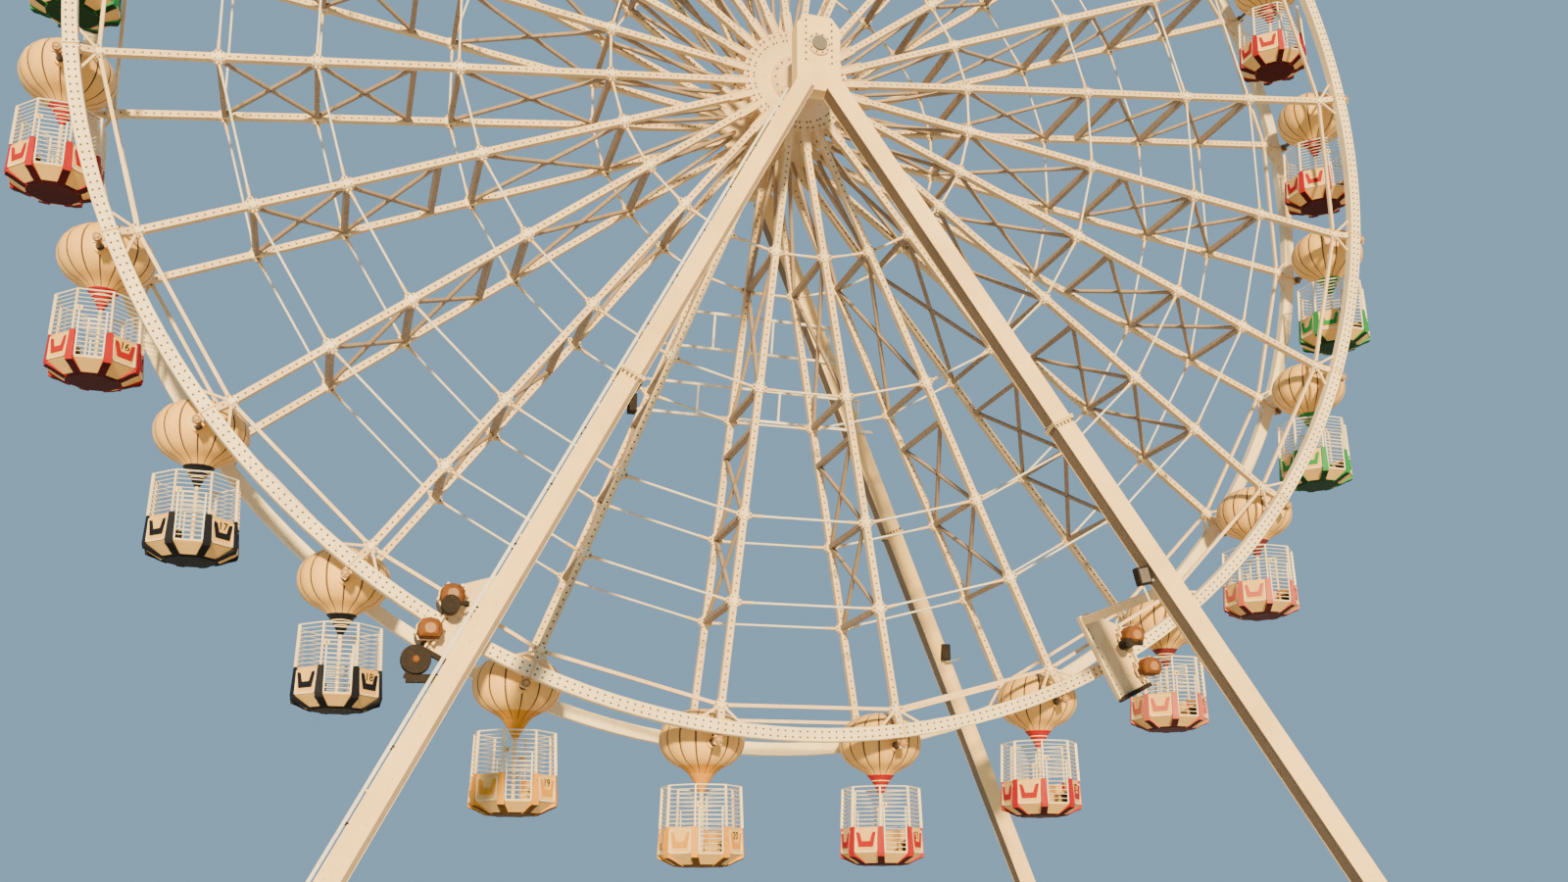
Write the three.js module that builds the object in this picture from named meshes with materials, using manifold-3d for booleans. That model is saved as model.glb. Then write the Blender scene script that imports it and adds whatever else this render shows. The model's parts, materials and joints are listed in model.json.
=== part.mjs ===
// Transportable ferris wheel with 24 balloon gondolas, in millimetres, +Z up.
// The wheel turns about an axle along Y. The front, where people board, faces -Y.
import * as THREE from 'three';
import { mergeVertices } from 'three/addons/utils/BufferGeometryUtils.js';
import { ConvexGeometry } from 'three/addons/geometries/ConvexGeometry.js';
import Module from 'manifold-3d';

const wasm = await Module();
wasm.setup();

// Driving dimensions of the whole machine
const RIM_RADIUS = 15000;
const HUB_HEIGHT = 20000;
const SPOKE_COUNT = 24;
const FIRST_SPOKE_DEGREES = 173.25;
const GAP = 0.3;

// Stand: the legs lean apart both ways, and the lines of a pair meet a little below the main axle
const LEG_TOP_Y = 2500;
const LEG_MEET = 400;
const FOOT_Y = 7300;
const FOOT_X = 10100;
const LEG_WIDTH = 400;
const LEG_DEPTH = 380;
const LEG_START = 700;
const HEAD_TOP = 700;
const HEAD_HALF_TOP = 300;
const HEAD_SHOULDER = 450;
const BEAM_HEIGHT = 350;
const SIDE_BEAM_WIDTH = 640;
const SIDE_BEAM_OVERHANG = 700;
const CROSS_BEAM_WIDTH = 400;

// Main axle and hub
const AXLE_RADIUS = 190;
const AXLE_CLEARANCE = 0.6;
const BARREL_RADIUS = 430;
const FLANGE_APOTHEM = 1250;
const FLANGE_THICKNESS = 120;
const ROUND_SIDES = 24;

// Spoke trusses: radius of each cross post and half the distance between the two chords there
const CHORD = 140;
const POST = 100;
const STATIONS = [
  { name: 'hub', radius: FLANGE_APOTHEM + GAP, half: 1080, post: false },
  { name: 'first', radius: 4320, half: 1118, post: true },
  { name: 'second', radius: 7590, half: 1146, post: true },
  { name: 'between', radius: 8520, half: 1146, post: true },
  { name: 'third', radius: 10455, half: 1146, post: true },
  { name: 'fourth', radius: 12345, half: 1164, post: true },
  { name: 'fork', radius: 14525, half: 1184, post: false },
];
const TIE_STATION = 'fork';
const TIE_WIDTH = 70;

// Rims: curved box girders with an ear for each gondola's bearing
const RIM_SIDES = 72;
const RIM_HEIGHT = 280;
const RIM_INBOARD_Y = 1254;
const RIM_OUTBOARD_Y = 1474;
const RIM_END_HALF = 1295;
const EAR_INBOARD_Y = 1264;
const EAR_THICKNESS = 60;
const EAR_WIDTH = 240;
const EAR_RADIUS = 15370;

// Gondola, measured from the centre of its own axle
const GONDOLA_AXLE_RADIUS = 15250;
const GONDOLA_SIDES = 8;
const PIN_RADIUS = 60;
const PIN_SIDES = 6;
const PIN_END_GAP = 0.5;
const BALLOON_RADIUS = 920;
const BALLOON_TOP = 790;
const BALLOON_WIDEST = 140;
const BALLOON_SHOULDER = { share: 0.8, height: 580 };
const BALLOON_WAIST = { share: 0.7, height: -300 };
const FUNNEL_TOP = { radius: 260, height: -510 };
const FUNNEL_END = -920;
const POLE_RADIUS = 60;
const TUB_TOP = -1700;
const TUB_WAIST = -2220;
const TUB_FLOOR = -2230;
const TUB_BOTTOM = -2460;
const TUB_HALF_WIDTH = 810;
const TUB_WAIST_HALF = 835;
const TUB_BOTTOM_HALF = 470;
const TUB_WALL = 50;
const CAGE_TOP = -810;
const CAGE_BAR = 40;
const CAGE_POSTS = 4;

// Friction drives at the front rim, one behind each front leg
const DRIVE_DEGREES = 29.5;
const TYRE_RADIUS = 230;
const TYRE_WIDTH = 80;
const TYRE_Y = -1424;
const TYRE_CLEARANCE = 6;
const MOTOR_RADIUS = 210;
const MOTOR_LENGTH = 500;
const SHAFT_RADIUS = 45;
const DRIVE_BEAM = 180;
const DRIVE_BEAM_DOWN = 13950;
const DRIVE_BEAM_INSET = 20;
const DRIVE_PLATE_DOWNS = [13830, 15820];
const DRIVE_PLATE = 60;
const DRIVE_PLATE_Y = -2030;
const DRIVE_PLATE_INNER = -120;
const DRIVE_PLATE_OUTER = 720;

// Ladder frames between the rear legs, and the access ladder on the front left leg
const FRAME_BAR = 60;
const FRAME_OVERHANG = 450;
const FRAME_HEIGHTS = { upper: [-4050, -4900], lower: [-5780, -6520] };
const FRAME_POSTS = 4;
const FRAME_POST = 48;
const LADDER_STANDOFF = 70;
const LADDER_HALF_WIDTH = 180;
const LADDER_RAIL = 50;
const LADDER_RUNG = 30;
const LADDER_TOP_Z = -1500;
const LADDER_RUNGS = 9;
const LADDER_BRACKETS = 4;

const steelCream = new THREE.MeshStandardMaterial({ color: 0xe6d6b4, roughness: 0.55, metalness: 0.1 });
const steelWhite = new THREE.MeshStandardMaterial({ color: 0xe9e4d8, roughness: 0.5, metalness: 0.1 });
const steelGrey = new THREE.MeshStandardMaterial({ color: 0x8c8f90, roughness: 0.6, metalness: 0.3 });
const coverOrange = new THREE.MeshStandardMaterial({ color: 0xb0713a, roughness: 0.7, metalness: 0.1 });
const tyreBlack = new THREE.MeshStandardMaterial({ color: 0x1c1b1a, roughness: 0.9, metalness: 0.0 });
const gondolaCream = new THREE.MeshStandardMaterial({ color: 0xe3cfa8, roughness: 0.45, metalness: 0.0 });

const machine = new THREE.Group();
const wheel = new THREE.Group();
wheel.position.set(0, 0, HUB_HEIGHT);
machine.add(wheel);

function radians(degrees) {
  return THREE.MathUtils.degToRad(degrees);
}

function spokeAngle(index) {
  return radians(FIRST_SPOKE_DEGREES + (360 / SPOKE_COUNT) * index);
}

// Adds one named sub-part, given in the wheel's frame: the hub centre is the origin
function add(name, geometry, material) {
  const mesh = new THREE.Mesh(geometry, material);
  mesh.name = name;
  wheel.add(mesh);
  return mesh;
}

// Joining and cutting closed shapes
function solid(geometry) {
  const bare = geometry.clone();
  bare.deleteAttribute('normal');
  bare.deleteAttribute('uv');
  const merged = mergeVertices(bare, 0.001);
  return new wasm.Manifold(new wasm.Mesh({
    numProp: 3,
    vertProperties: new Float32Array(merged.attributes.position.array),
    triVerts: new Uint32Array(merged.index.array),
  }));
}

function surface(body) {
  const result = body.getMesh();
  const geometry = new THREE.BufferGeometry();
  geometry.setAttribute('position', new THREE.BufferAttribute(result.vertProperties, 3));
  geometry.setIndex(new THREE.BufferAttribute(result.triVerts, 1));
  return geometry;
}

function joined(geometries) {
  return surface(geometries.map(solid).reduce((sum, piece) => sum.add(piece)));
}

function cut(geometry, cutters) {
  return surface(cutters.map(solid).reduce((rest, cutter) => rest.subtract(cutter), solid(geometry)));
}

// A flat plate with the given outline, as thick as stated, centred on its own plane
function plate(outline, thickness) {
  const shape = new THREE.Shape(outline.map(([x, y]) => new THREE.Vector2(x, y)));
  const geometry = new THREE.ExtrudeGeometry(shape, { depth: thickness, bevelEnabled: false });
  return geometry.translate(0, 0, -thickness / 2);
}

// A box given by its size and centre
function block(size, centre) {
  return new THREE.BoxGeometry(...size).translate(...centre);
}

// A square bar from one point to another; its width lies square to the given side direction
function bar(start, end, width, depth, side = new THREE.Vector3(0, 1, 0)) {
  const along = end.clone().sub(start);
  const length = along.length();
  along.normalize();
  const third = new THREE.Vector3().crossVectors(along, side).normalize();
  const second = new THREE.Vector3().crossVectors(third, along);
  const turn = new THREE.Matrix4().makeBasis(along, second, third);
  const middle = start.clone().add(end).multiplyScalar(0.5);
  const geometry = new THREE.BoxGeometry(length, depth, width).applyMatrix4(turn);
  return geometry.translate(middle.x, middle.y, middle.z);
}

// A body of revolution about the wheel's axle, with flat sides that face the spokes
function turned(profile, sides, phase = 0) {
  const points = profile.map(([radius, y]) => new THREE.Vector2(radius, y));
  return new THREE.LatheGeometry(points, sides, phase);
}

function facingSpokes(sides) {
  return Math.PI / 2 - spokeAngle(0) + Math.PI / sides;
}

function corner(apothem, sides) {
  return apothem / Math.cos(Math.PI / sides);
}

// A round shape whose axis runs along Y
function drum(radius, yStart, yEnd, x, z, sides) {
  const length = yEnd - yStart;
  return new THREE.CylinderGeometry(radius, radius, length, sides).translate(x, (yStart + yEnd) / 2, z);
}

// Legs: each is one straight box girder from the head to a base beam
const legTopPoint = (front) => new THREE.Vector3(0, front ? -LEG_TOP_Y : LEG_TOP_Y, -LEG_MEET);
const legFootPoint = (left, front) => new THREE.Vector3(
  left ? -FOOT_X : FOOT_X, front ? -FOOT_Y : FOOT_Y, -HUB_HEIGHT);
const legLean = Math.atan2(FOOT_X, HUB_HEIGHT - LEG_MEET);

function legAxisPoint(left, front, z) {
  const top = legTopPoint(front);
  return top.clone().lerp(legFootPoint(left, front), (z + LEG_MEET) / (LEG_MEET - HUB_HEIGHT));
}

// Across a leg, square to it in the front view and pointing outwards
function legAcross(left) {
  return new THREE.Vector3((left ? -1 : 1) * Math.cos(legLean), 0, Math.sin(legLean));
}

function makeLeg(left, front) {
  const direction = legFootPoint(left, front).sub(legTopPoint(front));
  const across = legAcross(left);
  const start = (LEG_START + GAP) * Math.cos(legLean);
  const topCentre = legAxisPoint(left, front, -LEG_MEET - start);
  const footZ = -HUB_HEIGHT + BEAM_HEIGHT + GAP;
  const corners = [];
  for (const a of [-1, 1]) {
    for (const b of [-1, 1]) {
      const top = topCentre.clone().addScaledVector(across, a * LEG_WIDTH / 2);
      top.y += b * LEG_DEPTH / 2;
      corners.push(top, top.clone().addScaledVector(direction, (footZ - top.z) / direction.z));
    }
  }
  return new ConvexGeometry(corners);
}

for (const front of [true, false]) {
  for (const left of [true, false]) {
    const name = `${front ? 'front' : 'rear'}_${left ? 'left' : 'right'}_leg`;
    add(name, makeLeg(left, front), steelCream);
  }
}

// Heads: each joins the tops of two legs and carries one end of the main axle
function makeHead(front) {
  const half = LEG_WIDTH / 2;
  const endX = LEG_START * Math.sin(legLean);
  const endZ = -LEG_MEET - LEG_START * Math.cos(legLean);
  const inner = [endX - half * Math.cos(legLean), endZ - half * Math.sin(legLean)];
  const outer = [endX + half * Math.cos(legLean), endZ + half * Math.sin(legLean)];
  const right = [inner, outer, [outer[0], HEAD_SHOULDER], [HEAD_HALF_TOP, HEAD_TOP]];
  const left = right.map(([x, z]) => [-x, z]).reverse();
  const middle = front ? -LEG_TOP_Y : LEG_TOP_Y;
  return plate([...right, ...left], LEG_DEPTH).rotateX(Math.PI / 2).translate(0, middle, 0);
}

add('front_head', makeHead(true), steelCream);
add('rear_head', makeHead(false), steelCream);

const axleEnd = LEG_TOP_Y - LEG_DEPTH / 2 - GAP;
const axleTurn = Math.PI / 2 - spokeAngle(0);
const axleBody = drum(AXLE_RADIUS, -axleEnd, axleEnd, 0, 0, ROUND_SIDES).rotateY(axleTurn);
add('main_axle', axleBody, steelGrey);

// Base: two side beams under the legs, joined by a front and a rear cross beam
function makeBase() {
  const footX = legAxisPoint(false, true, -HUB_HEIGHT + BEAM_HEIGHT).x;
  const middleZ = -HUB_HEIGHT + BEAM_HEIGHT / 2;
  const sideLength = 2 * (FOOT_Y + SIDE_BEAM_OVERHANG);
  for (const [name, sign] of [['left', -1], ['right', 1]]) {
    const size = [SIDE_BEAM_WIDTH, sideLength, BEAM_HEIGHT];
    add(`${name}_base_beam`, block(size, [sign * footX, 0, middleZ]), steelGrey);
  }
  const crossLength = 2 * (footX - SIDE_BEAM_WIDTH / 2 - GAP);
  for (const [name, y] of [['front', -FOOT_Y], ['rear', FOOT_Y]]) {
    const size = [crossLength, CROSS_BEAM_WIDTH, BEAM_HEIGHT];
    add(`${name}_base_beam`, block(size, [0, y, middleZ]), steelGrey);
  }
}
makeBase();

// Ladder frames tie the two rear legs together, in front of them
function makeTieFrame(heights) {
  const slope = (FOOT_Y - LEG_TOP_Y) / (HUB_HEIGHT - LEG_MEET);
  const slant = LEG_WIDTH / 2 * Math.sin(legLean) * slope;
  const standoff = LEG_DEPTH / 2 + slant + FRAME_BAR / 2 * (1 + slope) + GAP;
  const rowY = (z) => legAxisPoint(false, false, z).y - standoff;
  const reach = (z) => legAxisPoint(false, false, z).x + FRAME_OVERHANG;
  const bars = heights.map((z) => bar(
    new THREE.Vector3(-reach(z), rowY(z), z),
    new THREE.Vector3(reach(z), rowY(z), z), FRAME_BAR, FRAME_BAR));
  const [high, low] = heights;
  for (let post = 0; post < FRAME_POSTS; post += 1) {
    const x = (reach(high) - FRAME_BAR) * (2 * post / (FRAME_POSTS - 1) - 1);
    bars.push(bar(new THREE.Vector3(x, rowY(high), high),
      new THREE.Vector3(x, rowY(low), low), FRAME_POST, FRAME_POST));
  }
  return joined(bars);
}

for (const row of ['upper', 'lower']) {
  add(`${row}_tie_frame`, makeTieFrame(FRAME_HEIGHTS[row]), steelWhite);
}

// Access ladder along the outer face of the front left leg
function makeLadder() {
  const across = legAcross(true);
  const bottomZ = -HUB_HEIGHT + BEAM_HEIGHT + SIDE_BEAM_WIDTH;
  const at = (z, y, offset) => legAxisPoint(true, true, z)
    .addScaledVector(across, LEG_WIDTH / 2 + offset).add(new THREE.Vector3(0, y, 0));
  const pieces = [];
  for (const side of [-LADDER_HALF_WIDTH, LADDER_HALF_WIDTH]) {
    pieces.push(bar(at(LADDER_TOP_Z, side, LADDER_STANDOFF), at(bottomZ, side, LADDER_STANDOFF),
      LADDER_RAIL, LADDER_RAIL));
  }
  for (let rung = 0; rung < LADDER_RUNGS; rung += 1) {
    const share = rung / (LADDER_RUNGS - 1);
    const z = THREE.MathUtils.lerp(LADDER_TOP_Z - LADDER_RAIL, bottomZ + LADDER_RAIL, share);
    pieces.push(bar(at(z, -LADDER_HALF_WIDTH, LADDER_STANDOFF), at(z, LADDER_HALF_WIDTH, LADDER_STANDOFF),
      LADDER_RUNG, LADDER_RUNG, across));
  }
  for (let bracket = 0; bracket < LADDER_BRACKETS; bracket += 1) {
    const z = THREE.MathUtils.lerp(LADDER_TOP_Z, bottomZ, (bracket + 0.5) / LADDER_BRACKETS);
    pieces.push(bar(at(z, 0, GAP), at(z, 0, LADDER_STANDOFF), LADDER_RUNG, 2 * LADDER_HALF_WIDTH));
  }
  return joined(pieces);
}

add('access_ladder', makeLadder(), steelWhite);

// Hub: a barrel on the main axle with a flange at each end that the spokes meet
function makeHub() {
  const bore = corner(AXLE_RADIUS + AXLE_CLEARANCE, ROUND_SIDES);
  const flange = corner(FLANGE_APOTHEM, ROUND_SIDES);
  const face = STATIONS[0].half + FLANGE_THICKNESS / 2;
  const back = STATIONS[0].half - FLANGE_THICKNESS / 2;
  return turned([
    [bore, -face], [flange, -face], [flange, -back], [BARREL_RADIUS, -back],
    [BARREL_RADIUS, back], [flange, back], [flange, face], [bore, face], [bore, -face],
  ], ROUND_SIDES, facingSpokes(ROUND_SIDES));
}

add('hub', makeHub(), steelCream);

// Rims
function makeRim(side) {
  const inner = corner(RIM_RADIUS - RIM_HEIGHT / 2, RIM_SIDES);
  const outer = corner(RIM_RADIUS + RIM_HEIGHT / 2, RIM_SIDES);
  const low = Math.min(side * RIM_INBOARD_Y, side * RIM_OUTBOARD_Y);
  const high = Math.max(side * RIM_INBOARD_Y, side * RIM_OUTBOARD_Y);
  const pieces = [turned([[inner, low], [outer, low], [outer, high], [inner, high], [inner, low]],
    RIM_SIDES, facingSpokes(RIM_SIDES))];
  for (let index = 0; index < SPOKE_COUNT; index += 1) {
    const length = EAR_RADIUS - RIM_RADIUS;
    const centre = [RIM_RADIUS + length / 2, side * (EAR_INBOARD_Y + EAR_THICKNESS / 2), 0];
    pieces.push(block([length, EAR_THICKNESS, EAR_WIDTH], centre).rotateY(-spokeAngle(index)));
  }
  return joined(pieces);
}

add('front_rim', makeRim(-1), steelCream);
add('rear_rim', makeRim(1), steelCream);

// Spokes: each is a flat truss of two chords and cross posts, in a plane through the main axle
function makeTruss() {
  const rimEnd = { radius: RIM_RADIUS - RIM_HEIGHT / 2 - GAP, half: RIM_END_HALF, post: false };
  const stations = [...STATIONS, rimEnd];
  const bends = ({ half }, index) =>
    half !== stations[index - 1]?.half || half !== stations[index + 1]?.half;
  const outside = stations.filter(bends).map(({ radius, half }) => [radius, half + CHORD / 2]);
  const inside = ({ radius, half }, shift = 0) => [radius + shift, half - CHORD / 2];
  const posts = stations.filter(({ post }) => post);
  const lastPost = posts[posts.length - 1];
  const openEnd = stations.slice(stations.indexOf(lastPost) + 1).map((station) => inside(station));
  const upper = [inside(posts[0], -POST / 2), inside(stations[0]), ...outside,
    ...openEnd.reverse(), inside(lastPost, POST / 2)];
  const lower = upper.map(([radius, y]) => [radius, -y]).reverse();
  const bays = [];
  for (let index = 0; index + 1 < posts.length; index += 1) {
    const [r0, y0] = inside(posts[index], POST / 2);
    const [r1, y1] = inside(posts[index + 1], -POST / 2);
    bays.push(plate([[r0, -y0], [r1, -y1], [r1, y1], [r0, y0]], 2 * CHORD));
  }
  return cut(plate([...upper, ...lower], CHORD), bays);
}

const truss = makeTruss();

function makeSpoke(index) {
  return truss.clone().rotateY(-spokeAngle(index));
}

// A tie from one spoke to the next; an open tie stops just short of the next spoke
function makeTie(index, side, open) {
  const { radius, half } = STATIONS.find(({ name }) => name === TIE_STATION);
  const point = (angle) =>
    new THREE.Vector3(radius * Math.cos(angle), side * half, radius * Math.sin(angle));
  const start = point(spokeAngle(index));
  const end = point(spokeAngle(index + 1));
  if (open) {
    const skew = Math.PI / SPOKE_COUNT;
    const short = CHORD / 2 / Math.cos(skew) + TIE_WIDTH / 2 * Math.tan(skew) + GAP;
    end.add(start.clone().sub(end).setLength(short));
  }
  return bar(start, end, TIE_WIDTH, TIE_WIDTH);
}

function makeSpokePair(first) {
  const pieces = [makeSpoke(first), makeSpoke(first + 1)];
  for (const side of [-1, 1]) {
    pieces.push(makeTie(first, side, false));
    pieces.push(makeTie(first + 1, side, true));
  }
  return joined(pieces);
}

for (let first = 0; first < SPOKE_COUNT; first += 2) {
  const label = (number) => String(number + 1).padStart(2, '0');
  add(`spokes_${label(first)}_${label(first + 1)}`, makeSpokePair(first), steelCream);
}

// Gondola: balloon, pole and open tub on one axle, with a cage frame above the tub
function makeGondola() {
  const wide = (apothem) => corner(apothem, GONDOLA_SIDES);
  const bodyProfile = [
    [0, TUB_BOTTOM],
    [wide(TUB_BOTTOM_HALF), TUB_BOTTOM],
    [wide(TUB_WAIST_HALF), TUB_WAIST],
    [wide(TUB_HALF_WIDTH), TUB_TOP],
    [wide(TUB_HALF_WIDTH - TUB_WALL), TUB_TOP],
    [wide(TUB_HALF_WIDTH - TUB_WALL), TUB_FLOOR],
    [POLE_RADIUS, TUB_FLOOR],
    [POLE_RADIUS, FUNNEL_END],
    [FUNNEL_TOP.radius, FUNNEL_TOP.height],
    [wide(BALLOON_WAIST.share * BALLOON_RADIUS), BALLOON_WAIST.height],
    [wide(BALLOON_RADIUS), BALLOON_WIDEST],
    [wide(BALLOON_SHOULDER.share * BALLOON_RADIUS), BALLOON_SHOULDER.height],
    [0, BALLOON_TOP],
  ];
  const body = turned(bodyProfile, GONDOLA_SIDES, Math.PI / GONDOLA_SIDES).rotateX(Math.PI / 2);
  const ringOut = wide(TUB_HALF_WIDTH);
  const ringIn = wide(TUB_HALF_WIDTH - TUB_WALL);
  const ring = turned([
    [ringIn, CAGE_TOP - CAGE_BAR], [ringOut, CAGE_TOP - CAGE_BAR],
    [ringOut, CAGE_TOP], [ringIn, CAGE_TOP], [ringIn, CAGE_TOP - CAGE_BAR],
  ], GONDOLA_SIDES, Math.PI / GONDOLA_SIDES).rotateX(Math.PI / 2);
  const pinEnd = EAR_INBOARD_Y - PIN_END_GAP;
  const pin = drum(PIN_RADIUS, -pinEnd, pinEnd, 0, 0, PIN_SIDES);
  const pieces = [body, ring, pin];
  const postLow = TUB_TOP - CAGE_BAR;
  const postHigh = CAGE_TOP - CAGE_BAR / 2;
  const postRadius = TUB_HALF_WIDTH - TUB_WALL / 2;
  for (let index = 0; index < CAGE_POSTS; index += 1) {
    const post = block([CAGE_BAR, CAGE_BAR, postHigh - postLow], [postRadius, 0, (postLow + postHigh) / 2]);
    pieces.push(post.rotateZ(Math.PI / CAGE_POSTS * (2 * index + 1)));
  }
  return joined(pieces);
}

const gondolaGeometry = makeGondola();
for (let index = 0; index < SPOKE_COUNT; index += 1) {
  const angle = spokeAngle(index);
  const gondola = add(`gondola_${String(index + 1).padStart(2, '0')}`, gondolaGeometry, gondolaCream);
  gondola.position.set(GONDOLA_AXLE_RADIUS * Math.cos(angle), 0, GONDOLA_AXLE_RADIUS * Math.sin(angle));
}

// Friction drives: an arm behind each front leg holds one tyre inside and one outside the rim
const driveRadii = {
  inner: RIM_RADIUS - RIM_HEIGHT / 2 - TYRE_CLEARANCE - TYRE_RADIUS,
  outer: corner(RIM_RADIUS + RIM_HEIGHT / 2, RIM_SIDES) + TYRE_CLEARANCE + TYRE_RADIUS,
};

function drivePoint(left, radius) {
  const angle = radians(-90 + (left ? -1 : 1) * DRIVE_DEGREES);
  return { x: radius * Math.cos(angle), z: radius * Math.sin(angle) };
}

// The rear face of a front leg, at a distance down along the leg
function legBackY(down) {
  return legAxisPoint(true, true, -down * Math.cos(legLean)).y + LEG_DEPTH / 2 + GAP;
}

// A point level with a place down a front leg, and so far outwards from it
function besideLeg(left, down, reach, y) {
  const axis = legAxisPoint(left, true, -down * Math.cos(legLean));
  return new THREE.Vector3(axis.x, y, axis.z).addScaledVector(legAcross(left), reach);
}

function makeArmPlate(left, reaches, frontY) {
  const corners = [];
  for (const down of DRIVE_PLATE_DOWNS) {
    for (const reach of reaches) {
      const front = besideLeg(left, down, reach, frontY(down));
      corners.push(front, front.clone().add(new THREE.Vector3(0, DRIVE_PLATE, 0)));
    }
  }
  return new ConvexGeometry(corners);
}

// A seat plate lies on the leg's rear face; one beam runs from it to the top of the motors' plate
function makeDriveArm(left) {
  const seat = makeArmPlate(left, [-LEG_WIDTH / 2, LEG_WIDTH / 2], legBackY);
  const motorPlate = makeArmPlate(left, [DRIVE_PLATE_INNER, DRIVE_PLATE_OUTER], () => DRIVE_PLATE_Y);
  const plateMiddle = DRIVE_PLATE_Y + DRIVE_PLATE / 2;
  const beamFront = legBackY(DRIVE_BEAM_DOWN) + DRIVE_PLATE / 2;
  const start = besideLeg(left, DRIVE_BEAM_DOWN, -DRIVE_BEAM_INSET, beamFront);
  const end = besideLeg(left, DRIVE_BEAM_DOWN, -DRIVE_BEAM_INSET, plateMiddle);
  const pieces = [seat, motorPlate, bar(start, end, DRIVE_BEAM, DRIVE_BEAM, legAcross(left))];
  for (const radius of Object.values(driveRadii)) {
    const { x, z } = drivePoint(left, radius);
    pieces.push(drum(MOTOR_RADIUS, plateMiddle - MOTOR_LENGTH, plateMiddle, x, z, GONDOLA_SIDES));
    pieces.push(drum(SHAFT_RADIUS, DRIVE_PLATE_Y, TYRE_Y - TYRE_WIDTH / 2 - GAP, x, z, GONDOLA_SIDES));
  }
  return joined(pieces);
}

for (const left of [true, false]) {
  const side = left ? 'left' : 'right';
  add(`${side}_drive_arm`, makeDriveArm(left), coverOrange);
  for (const [place, radius] of Object.entries(driveRadii)) {
    const { x, z } = drivePoint(left, radius);
    const tyre = drum(TYRE_RADIUS, TYRE_Y - TYRE_WIDTH / 2, TYRE_Y + TYRE_WIDTH / 2, x, z, ROUND_SIDES);
    add(`${side}_${place}_tyre`, tyre, tyreBlack);
  }
}

export default machine;
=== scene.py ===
import json
import math
from functools import cache, partial

import bpy
from mathutils import Matrix, Vector


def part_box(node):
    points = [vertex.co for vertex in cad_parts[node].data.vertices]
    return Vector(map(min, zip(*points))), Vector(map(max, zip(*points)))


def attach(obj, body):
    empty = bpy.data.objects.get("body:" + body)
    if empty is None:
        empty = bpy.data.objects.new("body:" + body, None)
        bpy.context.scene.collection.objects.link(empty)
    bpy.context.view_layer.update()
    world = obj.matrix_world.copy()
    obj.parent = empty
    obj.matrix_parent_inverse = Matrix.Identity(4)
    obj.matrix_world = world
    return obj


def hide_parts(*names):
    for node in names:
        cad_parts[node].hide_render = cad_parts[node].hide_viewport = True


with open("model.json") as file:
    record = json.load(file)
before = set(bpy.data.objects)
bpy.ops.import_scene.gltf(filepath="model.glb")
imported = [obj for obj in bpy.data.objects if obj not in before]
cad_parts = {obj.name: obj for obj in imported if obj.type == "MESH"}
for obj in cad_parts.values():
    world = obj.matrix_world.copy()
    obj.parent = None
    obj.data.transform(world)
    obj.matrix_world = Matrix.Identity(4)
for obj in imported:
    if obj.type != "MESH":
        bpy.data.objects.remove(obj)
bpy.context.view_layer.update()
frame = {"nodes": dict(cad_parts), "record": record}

# Directions and sides
ACROSS = Vector((1, 0, 0))
BACK = Vector((0, 1, 0))
UP = Vector((0, 0, 1))
LEFT, RIGHT = -1, 1
FRONT, REAR = -1, 1

# Wheel, built on the driving dimensions of the solids
HUB = Vector((0.0, 0.0, 20.0))
SPOKES = 24
FIRST_SPOKE = math.radians(173.25)
SPOKE_STEP = 2 * math.pi / SPOKES
RIM_RADIUS = 15.0
RIM_HEIGHT = 0.28
RIM_INNER = RIM_RADIUS - RIM_HEIGHT / 2
RIM_OUTER = RIM_RADIUS + RIM_HEIGHT / 2
RIM_INBOARD = 1.254
RIM_OUTBOARD = 1.474
RIM_STEPS = 7
RIM_JOINT_GAP = 0.03
EAR_RADIUS = 15.37
EAR_Y = 1.294
BEARING_FACE = 1.375
FLANGE_FACE = 1.14
HUB_CAP = [(0.62, 0.0), (0.62, 0.05), (0.42, 0.07), (0.36, 0.22), (0.29, 0.24), (0.29, 0.30), (0.205, 0.31)]

# Spokes: at each station the distance from the hub and half the distance between the chords
CHORD = 0.14
STATIONS = {
    "hub": (1.25, 1.080),
    "first": (4.320, 1.118),
    "second": (7.590, 1.146),
    "between": (8.520, 1.146),
    "third": (10.455, 1.146),
    "fourth": (12.345, 1.164),
    "fork": (14.525, 1.184),
    "rim": (14.86, 1.295),
}
TIE_STATIONS = ("first", "second", "third", "fourth")
POST_STATIONS = ("first", "second", "between", "third", "fourth")
BRACED_BAYS = (("fourth", "third"), ("third", "between"), ("second", "first"))
TIE_RADIUS = 0.026
TIE_END = 0.30
BRACE = 0.085
POST_SHADE_COVER = 0.106
KNUCKLE = 0.195
FORK_KNUCKLE = 0.165

# Lamps along the rims and chords, as small caps in (radius, height) pairs
LAMP_SPACING = 0.16
LAMP_RADIUS = 0.024
RIM_LAMP = [(LAMP_RADIUS, 0.0), (LAMP_RADIUS * 0.8, LAMP_RADIUS * 0.7), (0.0, LAMP_RADIUS)]
RIM_LAMP_ROWS = (-0.06, 0.06)
CHORD_LAMP = [(LAMP_RADIUS, 0.0), (0.0, LAMP_RADIUS * 0.9)]
CHORD_LAMP_START = 1.7
CHORD_LAMP_END = 14.7

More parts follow.
